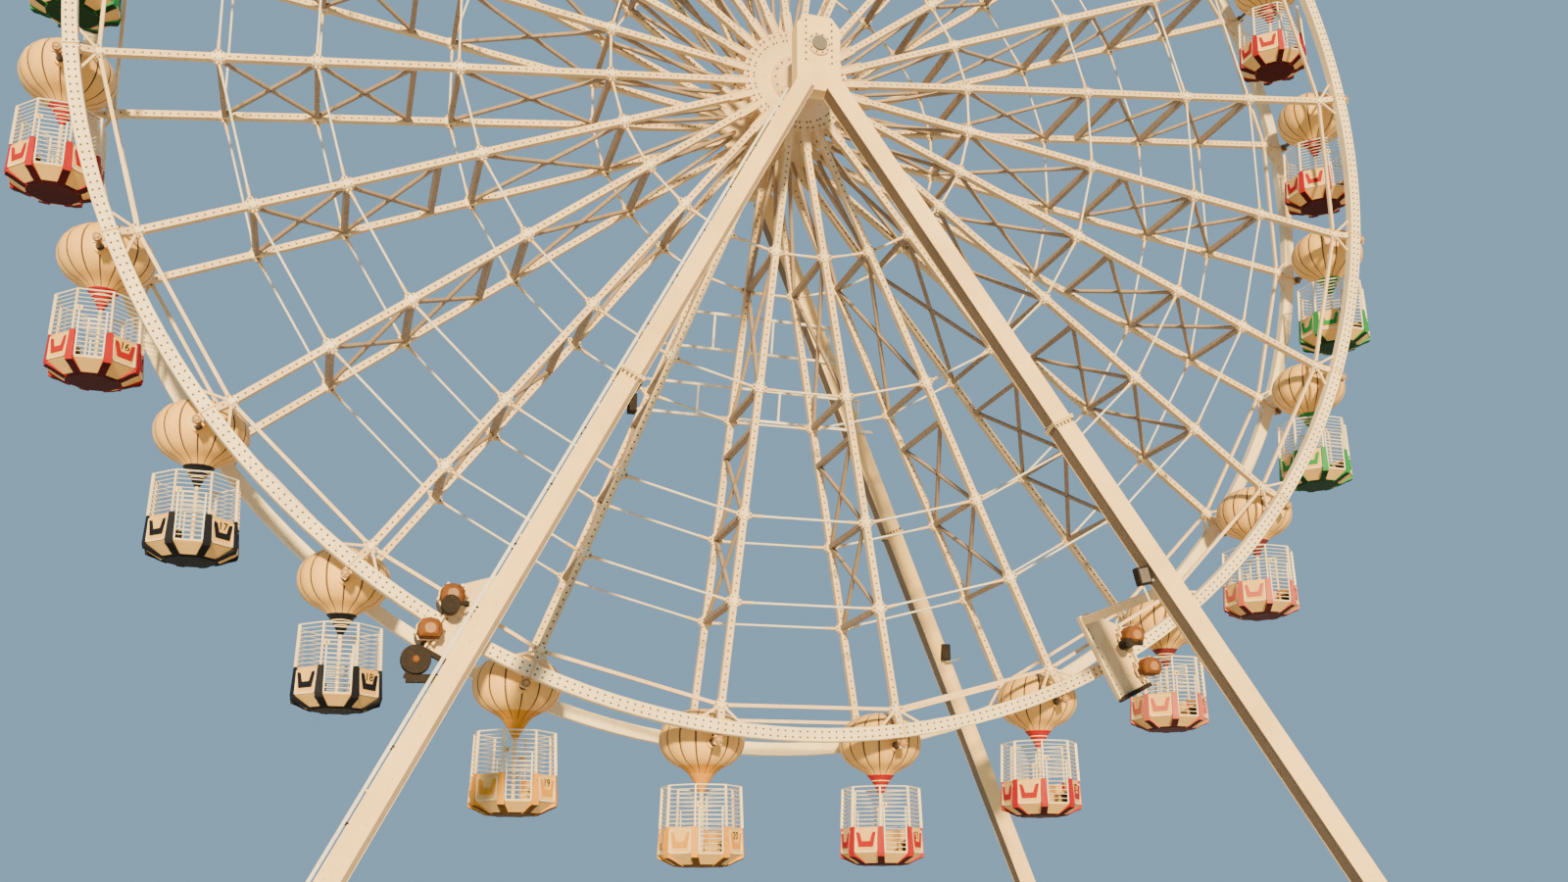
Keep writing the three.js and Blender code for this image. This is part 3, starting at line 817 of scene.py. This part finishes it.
def add_cage(shape):
    """Flat posts at the corners and round bars between them, the top bar the thickest."""
    for corner in range(FACES):
        foot = corner_point(corner, CAGE_FOOT_REACH, TUB_TOP + 0.02)
        top = corner_point(corner, CAGE_TOP_REACH, CAGE_TOP)
        bar(shape, foot, top, 0.06, 0.035, "cream_clean", foot.cross(UP), 0.008)
    for level in range(CAGE_BARS):
        height = CAGE_TOP + (TUB_TOP - CAGE_TOP) * level / CAGE_BARS
        radius = 0.018 if level == 0 else 0.0095
        for corner in range(FACES):
            edge_rod(shape, corner, cage_reach(height), height, radius, "white", 5, closed=False)


def add_tub_body(shape, accent):
    """The underside and floor, panels on walls and underside, and rails round the top and waist."""
    floor = TUB_WAIST - 0.01
    profile = [(0.0, TUB_BOTTOM), (TUB_BOTTOM_REACH - 0.02, TUB_BOTTOM),
               (TUB_BOTTOM_REACH + 0.03, TUB_BOTTOM + 0.025), (TUB_WAIST_REACH - 0.01, TUB_WAIST),
               (TUB_WAIST_REACH - 0.03, floor), (0.0, floor)]
    profile = [(reach * TO_CORNER, height) for reach, height in profile]
    # The underside and floor take the darkened copy of the accent: painted shade.
    lathe(shape, profile, FACES, accent + "_deep", FACE_STEP / 2, smooth=False)
    wall = trapezoid(0.325, TUB_TOP, 0.325, TUB_WAIST)
    low = trapezoid(0.255, TUB_WAIST - 0.012, 0.20, TUB_BOTTOM + 0.035)
    for face in range(FACES):
        if face not in DOOR_FACES:
            wall_plate(shape, face, wall, -0.03, 0.0, "panel")
        wall_plate(shape, face, low, -0.005, PANEL_RISE, "panel")
    for level in (TUB_TOP, TUB_WAIST):
        for corner in range(FACES):
            if level == TUB_TOP and (corner + 1) % FACES in DOOR_FACES:
                continue
            edge_rod(shape, corner, wall_reach(level) - 0.01, level, 0.018, "panel", 6)


def add_ribs(shape, accent):
    """Broad ribs on the tub's corners, each with a fin that runs on below the waist to a point, its lower
    edge covered by a strip of painted shade.
    """
    top, waist = TUB_TOP + 0.035, TUB_WAIST
    rib = [(-0.052, top - 0.02), (0.0, top), (0.052, top - 0.02), (0.076, waist), (-0.076, waist)]
    waist_radius = TUB_WAIST_REACH * TO_CORNER
    bottom_radius = TUB_BOTTOM_REACH * TO_CORNER
    sweep = [(waist_radius + PANEL_RISE, waist), (waist_radius + 0.006, waist - 0.075),
             (0.74, waist - 0.125), (0.62, waist - 0.185), (bottom_radius + 0.01, TUB_BOTTOM + 0.005)]
    fin = sweep + [(bottom_radius - 0.06, TUB_BOTTOM + 0.02), (waist_radius - 0.09, waist)]
    for corner in range(FACES):
        turn = corner + 0.5
        wall_plate(shape, turn, rib, -0.05, PANEL_RISE, accent)
        prism(shape, fin, lambda radius, height, across: tub_point(turn, across, radius, height),
              -0.07, 0.07, accent)
        # Strips of the darkened accent along each fin's lower edge: painted shade.
        edge = [tub_point(turn, 0, radius, height) for radius, height in sweep[1:]]
        for start, end in zip(edge, edge[1:]):
            bar(shape, start, end, 0.014, 0.144, accent + "_deep", tub_point(turn, 1, 0, 0))


def add_shield(shape, face, accent):
    """A raised panel with a light border and a cup of three strips in the accent colour."""
    top, bottom = TUB_TOP - 0.05, TUB_WAIST + 0.004
    half = 0.255
    border = 0.03
    wall_plate(shape, face, trapezoid(half, top, half, bottom), 0.0, PANEL_RISE, "panel")
    edges = [[(left, top), (left + border, top), (left + border, bottom), (left, bottom)]
             for left in (-half, half - border)]
    for edge in edges + [trapezoid(half, bottom + border, half, bottom)]:
        wall_plate(shape, face, edge, PANEL_RISE, 0.038, "cream_clean")
    arm_top, arm_low, base = top - 0.035, top - 0.23, top - 0.345
    left = [(-0.222, arm_top), (-0.148, arm_top - 0.02), (-0.095, arm_low), (-0.16, base)]
    right = [(-across, height) for across, height in reversed(left)]
    for part in (left, right, trapezoid(0.095, arm_low, 0.16, base)):
        wall_plate(shape, face, part, PANEL_RISE, 0.042, accent)


def add_door(shape, face):
    """A barred door between two posts, sloping from the cage to the tub's waist, and its latch."""
    low = TUB_WAIST + 0.02
    top_reach = cage_reach(DOOR_TOP) + 0.012
    normal = tub_point(face, 0, 1, 0)
    for across in (-DOOR_HALF, DOOR_HALF):
        start = tub_point(face, across, top_reach, DOOR_TOP)
        bar(shape, start, wall_point(face, across, low, 0), 0.03, 0.03, "white", normal, 0.005)
    for level in range(DOOR_BARS + 1):
        height = DOOR_TOP + (low - DOOR_TOP) * level / DOOR_BARS
        reach = carried(height, DOOR_TOP, low, top_reach, wall_reach(low))
        ends = [tub_point(face, across, reach, height) for across in (-DOOR_HALF, DOOR_HALF)]
        rod(shape, *ends, 0.015 if level in (0, DOOR_BARS) else 0.009, "white", 5)
    latch = tub_point(face, -DOOR_HALF, cage_reach(DOOR_TOP) + 0.035, DOOR_TOP + 0.03)
    bar(shape, latch - UP * 0.05, latch + UP * 0.05, 0.02, 0.11, "cream", normal.cross(UP))
    rod(shape, latch + normal * 0.012, latch + normal * 0.03, 0.02, "steel")


def add_seats(shape):
    """A bench along each wall without a door, on a riser."""
    seat = trapezoid(0.30, 0.76, 0.19, 0.47)
    riser = trapezoid(0.19, 0.49, 0.19, 0.47)
    level = TUB_WAIST + SEAT_HEIGHT
    for face in range(FACES):
        if face in DOOR_FACES:
            continue
        for outline, low, high in ((seat, level, level + 0.04), (riser, TUB_WAIST - 0.01, level)):
            prism(shape, outline, partial(tub_point, face), low, high, "panel")


def make_gondola_shape(accent):
    shape = Shape()
    add_balloon(shape, accent)
    add_funnel(shape, accent)
    rod(shape, UP * TUB_WAIST, UP * FLARE[-1][1], POLE_RADIUS, "cream_clean", 12)
    rod(shape, UP * (TUB_WAIST - 0.005), UP * (TUB_WAIST + 0.02), 0.13, "steel", 12)
    add_axle(shape)
    add_cage(shape)
    add_tub_body(shape, accent)
    add_ribs(shape, accent)
    for face in range(FACES):
        if face in DOOR_FACES:
            add_door(shape, face)
        else:
            add_shield(shape, face, accent)
    add_seats(shape)
    return shape


def digit_shape(text):
    """The outlines of a number as a thin raised plate, centred, facing +Z."""
    curve = bpy.data.curves.new("digits", "FONT")
    curve.body = text
    curve.size = DIGIT_SIZE
    curve.align_x = "CENTER"
    curve.align_y = "CENTER"
    curve.extrude = 0.003
    curve.resolution_u = 3
    holder = place_object("digits", curve)
    mesh = holder.to_mesh()
    shape = Shape()
    points = [vertex.co.copy() for vertex in mesh.vertices]
    shape.add(points, [tuple(face.vertices) for face in mesh.polygons], "digits")
    holder.to_mesh_clear()
    bpy.data.objects.remove(holder)
    bpy.data.curves.remove(curve)
    return shape


def add_number(shape, face, digits):
    """A number upright on a shield, just proud of it."""
    height = TUB_TOP - 0.155
    normal = tub_point(face, 0, 1, 0)
    tangent = tub_point(face, 1, 0, 0)
    place = wall_point(face, 0, height, PANEL_RISE + 0.004)
    shape.put(digits, place, Matrix((tangent, UP, normal)).transposed())


def make_gondolas():
    shapes = {accent: make_gondola_shape(accent) for accent in set(SCHEMES)}
    for index in range(SPOKES):
        shape = Shape()
        shape.put(shapes[SCHEMES[(index + 1) // 2 % len(SCHEMES)]])
        number = (index + 13) % SPOKES + 1
        digits = digit_shape(str(number))
        for face in NUMBER_FACES:
            add_number(shape, face, digits)
        node = f"gondola_{index + 1:02d}"
        place = wheel_point(AXLE_RADIUS, spoke_angle(index), 0)
        shape.build(node + "_cabin", node, place, replaced=(node,))


# Stand
def leg_point(side, end, z):
    """A point on a leg's axis; z is measured from the hub, downwards negative."""
    share = (-z - LEG_MEET) / (HUB.z - LEG_MEET)
    foot = Vector((side * FOOT_X, end * FOOT_Y, -HUB.z))
    top = Vector((0, end * LEG_TOP_Y, -LEG_MEET))
    return HUB + top.lerp(foot, share)


def leg_across(side):
    """The direction out of the outer face of the legs on a side."""
    return Vector((side * math.cos(LEG_LEAN), 0, math.sin(LEG_LEAN)))


def add_splice(shape, side, end):
    """Bolted end plates where two lengths of a leg meet."""
    across = leg_across(side)
    centre = leg_point(side, end, SPLICE_Z)
    along = (leg_point(side, end, SPLICE_Z - 1) - leg_point(side, end, SPLICE_Z + 1)).normalized()
    for middle in (centre - along * 0.022, centre + along * 0.022):
        bar(shape, middle - along * 0.016, middle + along * 0.016, LEG_DEPTH + 0.07, LEG_WIDTH + 0.10,
            "leg_cream", across)
    for way in (-1, 1):
        for step in range(-2, 3):
            edge = centre + across * (way * (LEG_WIDTH / 2 + 0.03)) + BACK * (step * 0.08)
            face = centre + across * (step * 0.09) + BACK * (way * (LEG_DEPTH / 2 + 0.025))
            for place in (edge, face):
                drum(shape, place, along, -0.06, 0.06, 0.017, "steel", 6)


def add_edge_flanges(shape, side, end):
    """Flanges along a leg's corners, a dark plate of painted shade on the inner side, and dark strips of
    painted shade on the left legs' faces.
    """
    across = leg_across(side)
    top = leg_point(side, end, -1.06)
    foot = leg_point(side, end, BEAM_HEIGHT + 0.05 - HUB.z)

    def run(out, back, width, depth, paint):
        shift = across * out + BACK * back
        bar(shape, top + shift, foot + shift, width, depth, paint, across)

    for face in (-1, 1):
        for edge in (-1, 1):
            run(edge * (LEG_WIDTH / 2 + 0.006), face * (LEG_DEPTH / 2 - 0.012), 0.02, 0.012, "leg_cream")
        # On the left legs a dark strip by the inner edge stands for the shaded inner side: painted shade.
        if side == LEFT:
            run(0.035 - LEG_WIDTH / 2, face * (LEG_DEPTH / 2 + 0.005), 0.012, 0.07, "leg_edge")
    # A dark plate over the inner side face: painted shade.
    run(-LEG_WIDTH / 2 - 0.003, 0.0, LEG_DEPTH - 0.05, 0.01, "leg_edge")


def add_leg_foot(shape, side, end):
    """A bolted foot plate with two gussets against the leg's inner face."""
    foot = leg_point(side, end, BEAM_HEIGHT - HUB.z)
    middle = BEAM_HEIGHT + FOOT_PLATE / 2
    box(shape, (foot.x, foot.y, middle), (0.62, 0.66, FOOT_PLATE), "grey")
    for x in (-0.25, 0.25):
        for y in (-0.27, 0.0, 0.27):
            bolt(shape, (foot.x + x, foot.y + y, BEAM_HEIGHT + FOOT_PLATE), UP, PLATE_BOLT)
    gusset = [(-0.20, 0.0), (-0.38, 0.0), (-0.302, 0.42), (-0.20, 0.30)]
    for y in (foot.y - 0.16, foot.y + 0.16):
        prism(shape, gusset, lambda out, rise, y: Vector((foot.x + side * out, y, middle + rise)),
              y - 0.01, y + 0.01, "leg_cream")


def add_ladder_rungs(shape):
    """Rungs along the front left leg, with struts to the leg at every fifth."""
    across = leg_across(LEFT)
    top = leg_point(LEFT, FRONT, -1.55)
    foot = leg_point(LEFT, FRONT, BEAM_HEIGHT + SIDE_BEAM_WIDTH + 0.05 - HUB.z)
    count = round((foot - top).length / RUNG_SPACING)
    for step in range(count + 1):
        root = top.lerp(foot, step / count) + across * (LEG_WIDTH / 2)
        rung = root + across * LADDER_STANDOFF
        drum(shape, rung, BACK, -LADDER_HALF, LADDER_HALF, 0.014, "white", 6)
        if step % 5 == 2:
            for y in (-LADDER_HALF, LADDER_HALF):
                rod(shape, root + BACK * y, rung + BACK * y, 0.018, "dark", 6)


def add_head_details(shape, end):
    """Edge bars and rows of bolts on a head's outer face, and the cap over the main axle."""
    away = BACK * end
    centre = HUB + away * (LEG_TOP_Y + LEG_DEPTH / 2)
    for side in (-1, 1):
        edge = centre + ACROSS * (side * 0.24)
        bar(shape, edge - UP * 0.45, edge + UP * 0.62, 0.05, 0.05, "cream_clean", chamfer=0.008)
        for step in range(7):
            bolt(shape, centre + ACROSS * (side * 0.30) + UP * (step * 0.16 - 0.42), away, PLATE_BOLT)
    drum(shape, centre, away, 0.0, 0.045, 0.27, "cream", 24)
    drum(shape, centre, away, 0.045, 0.09, 0.17, "steel", 20)
    bolt_circle(shape, centre + away * 0.045, away, 0.225, 10, SEAT_BOLT)


def add_leg_boxes(shape):
    """A flood lamp on an arm from the front right leg, and boxes on two other legs."""
    inner = -leg_across(RIGHT)
    root = leg_point(RIGHT, FRONT, -12.15) + inner * (LEG_WIDTH / 2)
    hinge = root + inner * 0.28
    bar(shape, root, hinge, 0.05, 0.05, "grey")
    lamp = hinge + UP * 0.18
    tilt = Matrix.Rotation(math.radians(-14), 3, "Y")
    box(shape, lamp, (0.26, 0.18, 0.36), "dark", tilt, 0.03)
    box(shape, lamp - BACK * 0.095, (0.20, 0.012, 0.28), "steel", tilt)
    bar(shape, hinge - UP * 0.02, hinge + Vector((0.12, 0, -0.30)), 0.03, 0.03, "white")
    side_box = leg_point(LEFT, FRONT, -9.35) - leg_across(LEFT) * (LEG_WIDTH / 2 + 0.07)
    box(shape, side_box, (0.14, 0.24, 0.34), "dark", chamfer=0.015)
    front_box = leg_point(RIGHT, REAR, -11.95) - inner * 0.12 - BACK * (LEG_DEPTH / 2 + 0.07)
    box(shape, front_box, (0.22, 0.14, 0.42), "dark", chamfer=0.015)
    bar(shape, front_box - UP * 0.25, front_box + Vector((0.45, 0, -0.16)), 0.04, 0.04, "grey")


def make_stand_details():
    shape = Shape()
    for side in (LEFT, RIGHT):
        for end in (FRONT, REAR):
            add_splice(shape, side, end)
            add_edge_flanges(shape, side, end)
            add_leg_foot(shape, side, end)
    for end in (FRONT, REAR):
        add_head_details(shape, end)
    shape.build("leg_details", "stand")
    rungs = Shape()
    add_ladder_rungs(rungs)
    rungs.build("ladder_rungs", "stand")
    boxes = Shape()
    add_leg_boxes(boxes)
    boxes.build("leg_boxes", "stand")


# Friction drives
def drive_angle(side):
    return -math.pi / 2 + side * DRIVE_ANGLE


def beside_leg(side, down, reach, y):
    """A point down along a front leg from the hub, moved outwards by reach, at a given y."""
    place = leg_point(side, FRONT, -down * math.cos(LEG_LEAN)) + leg_across(side) * reach
    place.y = y
    return place


def leg_back_y(down):
    return leg_point(LEFT, FRONT, -down * math.cos(LEG_LEAN)).y + LEG_DEPTH / 2


def add_tyre(shape):
    """A tyre about +Z, centred, on a wheel dished and bolted on both sides."""
    half = TYRE_WIDTH / 2
    rim = TYRE_RADIUS - 0.09
    lower = [(rim, -half), (rim + 0.04, -half - 0.005), (TYRE_RADIUS - 0.015, -half),
             (TYRE_RADIUS - 0.002, -half * 0.6)]
    upper = [(radius, -height) for radius, height in reversed(lower)]
    lathe(shape, lower + [(TYRE_RADIUS, 0.0)] + upper, 40, "rubber")
    for side in (-1, 1):
        middle = side * half * 0.3
        dish = [(0.0, middle), (rim - 0.06, middle), (rim - 0.03, side * half * 0.9), (rim, side * half)]
        lathe(shape, dish if side < 0 else dish[::-1], 32, "orange")
        bolt_circle(shape, UP * middle, UP * side, 0.055, 5, TINY_BOLT)


def add_motor(shape, side, place):
    """Rusty hood over a geared motor in front of its tyre, on a cream bracket."""
    angle = drive_angle(side)
    centre = wheel_point(DRIVE_RADII[place], angle, MOTOR_FRONT_Y)
    length = PLATE_FRONT_Y - MOTOR_FRONT_Y
    rings = ((0.0, 0.62), (0.05, 0.92), (0.10, 1.0), (length - 0.12, 1.0))
    points = [centre + Vector((a * size, depth, b * size)) for depth, size in rings for a, b in HOOD]
    shape.add(points, ring_faces(len(rings), len(HOOD)), "orange")
    for near, far, size, paint in ((length - 0.12, length - 0.07, 1.10, "cream_clean"),
                                   (length - 0.07, length, 0.95, "orange")):
        prism(shape, HOOD, lambda a, b, depth: centre + Vector((a * size, depth, b * size)),
              near, far, paint)
    drum(shape, centre, BACK, -0.006, 0.03, 0.10, "bearing", 14)
    radial, tangent = wheel_axes(angle)
    for shift in (-0.19, 0.19):
        foot = centre + tangent * shift + BACK * (length - 0.10)
        bar(shape, foot - radial * 0.20, foot + radial * 0.20, 0.05, 0.16, "cream", chamfer=0.01)
    if place == "inner":
        add_gear_case(shape, side, centre)
    shaft = [wheel_point(DRIVE_RADII[place], angle, y) for y in (PLATE_BACK_Y, TYRE_Y - TYRE_WIDTH / 2)]
    rod(shape, *shaft, 0.045, "steel", 12)


def add_gear_case(shape, side, centre):
    """A round dark case below the inner motor, larger on the left, with a knob to its right."""
    shift, radius = (-0.03, 0.175) if side == LEFT else (-0.20, 0.11)
    case = centre + Vector((shift, -0.02, -0.20))
    drum(shape, case, BACK, 0.0, 0.30, radius, "dark", 18)
    knob = case + Vector((0.24, 0.06, 0.02))
    drum(shape, knob, ACROSS, -0.14, 0.0, 0.035, "dark", 8)
    drum(shape, knob, ACROSS, 0.0, 0.09, 0.06, "dark", 12)


def add_drive_plate(shape, side):
    """The plate that carries both motors, beside the rim, with bolts and a turned edge."""
    top, foot = DRIVE_PLATE_DOWNS
    inner, outer = PLATE_REACHES
    cut = top + PLATE_CUT
    outline = [(top, inner), (foot, inner), (foot, outer), (cut, outer), (top, inner + 0.3)]
    prism(shape, outline, partial(beside_leg, side), PLATE_FRONT_Y, PLATE_BACK_Y, "cream")
    for reach, start in ((inner + 0.02, top), (outer - 0.02, cut)):
        ends = [beside_leg(side, down, reach, PLATE_FRONT_Y - 0.05) for down in (start, foot)]
        bar(shape, *ends, 0.04, 0.10, "cream_clean")
    low = [beside_leg(side, foot, reach, PLATE_FRONT_Y - 0.06) for reach in PLATE_REACHES]
    bar(shape, *low, 0.09, 0.14, "dark")
    for step in range(PLATE_BOLTS):
        for reach, start in ((inner + 0.10, top), (outer - 0.10, cut)):
            down = start + (foot - start) * (step + 0.5) / PLATE_BOLTS
            bolt(shape, beside_leg(side, down, reach, PLATE_FRONT_Y), -BACK, LARGE_BOLT)


def add_drive_beam(shape, side):
    """A beam runs back from a bolted seat on the leg to the motor plate."""
    seat_y = leg_back_y(DRIVE_BEAM_DOWN) + DRIVE_SEAT
    ends = [beside_leg(side, DRIVE_BEAM_DOWN, -DRIVE_BEAM_INSET, y) for y in (seat_y, PLATE_BACK_Y)]
    bar(shape, *ends, DRIVE_BEAM, DRIVE_BEAM, "cream", leg_across(side), 0.012)
    for reach in (-0.14, 0.14):
        for shift in (-0.05, 0.05):
            bolt(shape, beside_leg(side, DRIVE_BEAM_DOWN + shift, reach, seat_y), BACK, SEAT_BOLT)
    top, foot = DRIVE_PLATE_DOWNS
    half = LEG_WIDTH / 2
    prism(shape, [(top, -half), (foot, -half), (foot, half), (top, half)],
          lambda down, reach, gap: beside_leg(side, down, reach, leg_back_y(down) + gap),
          0.003, DRIVE_SEAT, "cream")


def add_cable_reel(shape):
    """A dark reel on a bracket below the left drive."""
    centre = HUB + REEL
    drum(shape, centre, BACK, 0.0, 0.05, 0.27, "dark", 28, 0.28)
    drum(shape, centre, BACK, 0.05, 0.14, 0.20, "dark", 24)
    drum(shape, centre, BACK, 0.14, 0.19, 0.28, "dark", 28)
    drum(shape, centre, BACK, -0.025, 0.0, 0.05, "orange", 14, 0.07)
    bracket = beside_leg(LEFT, 16.05, 0.0, PLATE_FRONT_Y - 0.05)
    low = centre + Vector((-0.16, 0.10, -0.36))
    bar(shape, low, bracket, 0.16, 0.10, "dark", chamfer=0.015)
    bar(shape, low, centre + BACK * 0.10, 0.12, 0.08, "dark")
    arm = beside_leg(LEFT, DRIVE_PLATE_DOWNS[1] - 0.1, PLATE_REACHES[0] + 0.1, PLATE_FRONT_Y - 0.03)
    bar(shape, bracket, arm, 0.10, 0.06, "dark")


def make_drives():
    tyre = Shape()
    add_tyre(tyre)
    for name, side in (("left", LEFT), ("right", RIGHT)):
        shape = Shape()
        add_drive_plate(shape, side)
        add_drive_beam(shape, side)
        if side == LEFT:
            add_cable_reel(shape)
        for place, radius in DRIVE_RADII.items():
            add_motor(shape, side, place)
            node = f"{name}_{place}_tyre"
            centre = wheel_point(radius, drive_angle(side), TYRE_Y)
            tyre.build(node + "_wheel", node, centre, facing(FRONT), (node,))
        shape.build(f"{name}_drive_unit", "stand", replaced=(f"{name}_drive_arm",))


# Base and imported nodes
def make_base_details():
    """End plates and upright stiffeners on the side beams."""
    shape = Shape()
    for node in ("left_base_beam", "right_base_beam"):
        low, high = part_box(node)
        size = (SIDE_BEAM_WIDTH + 0.02, 0.04, BEAM_HEIGHT + 0.008)
        for y in (low.y + 0.023, high.y - 0.023):
            box(shape, ((low.x + high.x) / 2, y, size[2] / 2), size, "grey")
        for step in range(1, STIFFENER_STEPS):
            y = low.y + (high.y - low.y) * step / STIFFENER_STEPS
            for x in (low.x - 0.004, high.x + 0.004):
                box(shape, (x, y, BEAM_HEIGHT / 2), (0.012, 0.03, BEAM_HEIGHT - 0.06), "grey")
    shape.build("base_stiffeners", "stand")


def paint_nodes():
    """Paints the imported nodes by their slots, the legs and heads in the legs' cream."""
    slots = {entry["node"]: entry["material_slot"] for entry in frame["record"]["subparts"]}
    paints = {"cream_paint": "cream", "white_paint": "white", "grey_steel": "grey",
              "orange_cover": "orange", "tyre": "rubber", "gondola_shell": "shell"}
    for name, node in frame["nodes"].items():
        paint = "leg_cream" if name.endswith(("_leg", "_head")) else paints[slots[name]]
        for place in node.material_slots:
            place.material = material(paint)


# Floor, light and camera
def make_floor():
    mesh = bpy.data.meshes.new("floor")
    corners = [(x * FLOOR_REACH, y * FLOOR_REACH, 0) for x, y in ((-1, -1), (1, -1), (1, 1), (-1, 1))]
    mesh.from_pydata(corners, [], [(0, 1, 2, 3)])
    floor = place_object("floor", mesh)
    floor.location.z = -0.004
    graph = Graph("floor")
    tone = graph.mixed(graph.noise(0.15, 4.0), (0.56, 0.55, 0.52), (0.66, 0.65, 0.62))
    graph.feed(graph.shader.inputs["Base Color"], tone)
    graph.feed(graph.shader.inputs["Roughness"], 0.9)
    mesh.materials.append(graph.material)


def add_sun(name, energy, colour, direction, spread):
    lamp = bpy.data.lights.new(name, "SUN")
    lamp.energy = energy
    lamp.color = colour
    lamp.angle = math.radians(spread)
    holder = place_object(name, lamp)
    holder.rotation_euler = Vector(direction).to_track_quat("-Z", "Y").to_euler()


def make_light():
    """A low, warm key light from behind the camera, a faint cool fill and a plain pale surround."""
    add_sun("key", 10.5, (1.0, 0.76, 0.37), (0.20, 0.95, -0.26), 4.0)
    add_sun("fill", 0.25, (0.78, 0.86, 1.0), (-0.5, -0.6, -0.6), 40.0)
    world = bpy.data.worlds.new("studio")
    world.use_nodes = True
    background = world.node_tree.nodes["Background"]
    background.inputs["Color"].default_value = (0.34, 0.56, 0.76, 1.0)
    background.inputs["Strength"].default_value = 0.75
    bpy.context.scene.world = world


def make_camera():
    """The photograph's view: from near the ground, looking up past the front left leg."""
    yaw, pitch, roll = (math.radians(angle) for angle in CAMERA_ANGLES)
    turn = Matrix.Rotation(yaw, 3, "Z") @ Matrix.Rotation(pitch, 3, "X") @ Matrix.Rotation(roll, 3, "Y")
    right, forward, up = turn.col[0], turn.col[1], turn.col[2]
    lens = bpy.data.cameras.new("camera")
    lens.sensor_width = 36.0
    lens.lens = 33.58
    lens.shift_x = -0.0102
    lens.shift_y = 0.0795
    lens.clip_end = 600.0
    holder = place_object("camera", lens)
    columns = Matrix((right, up, -forward)).transposed().to_4x4()
    holder.matrix_world = Matrix.Translation(CAMERA_PLACE) @ columns
    bpy.context.scene.camera = holder


make_camera()
make_light()
make_floor()
paint_nodes()
make_rims()
make_spoke_details()
make_hub_details()
make_gondolas()
make_stand_details()
make_drives()
make_base_details()
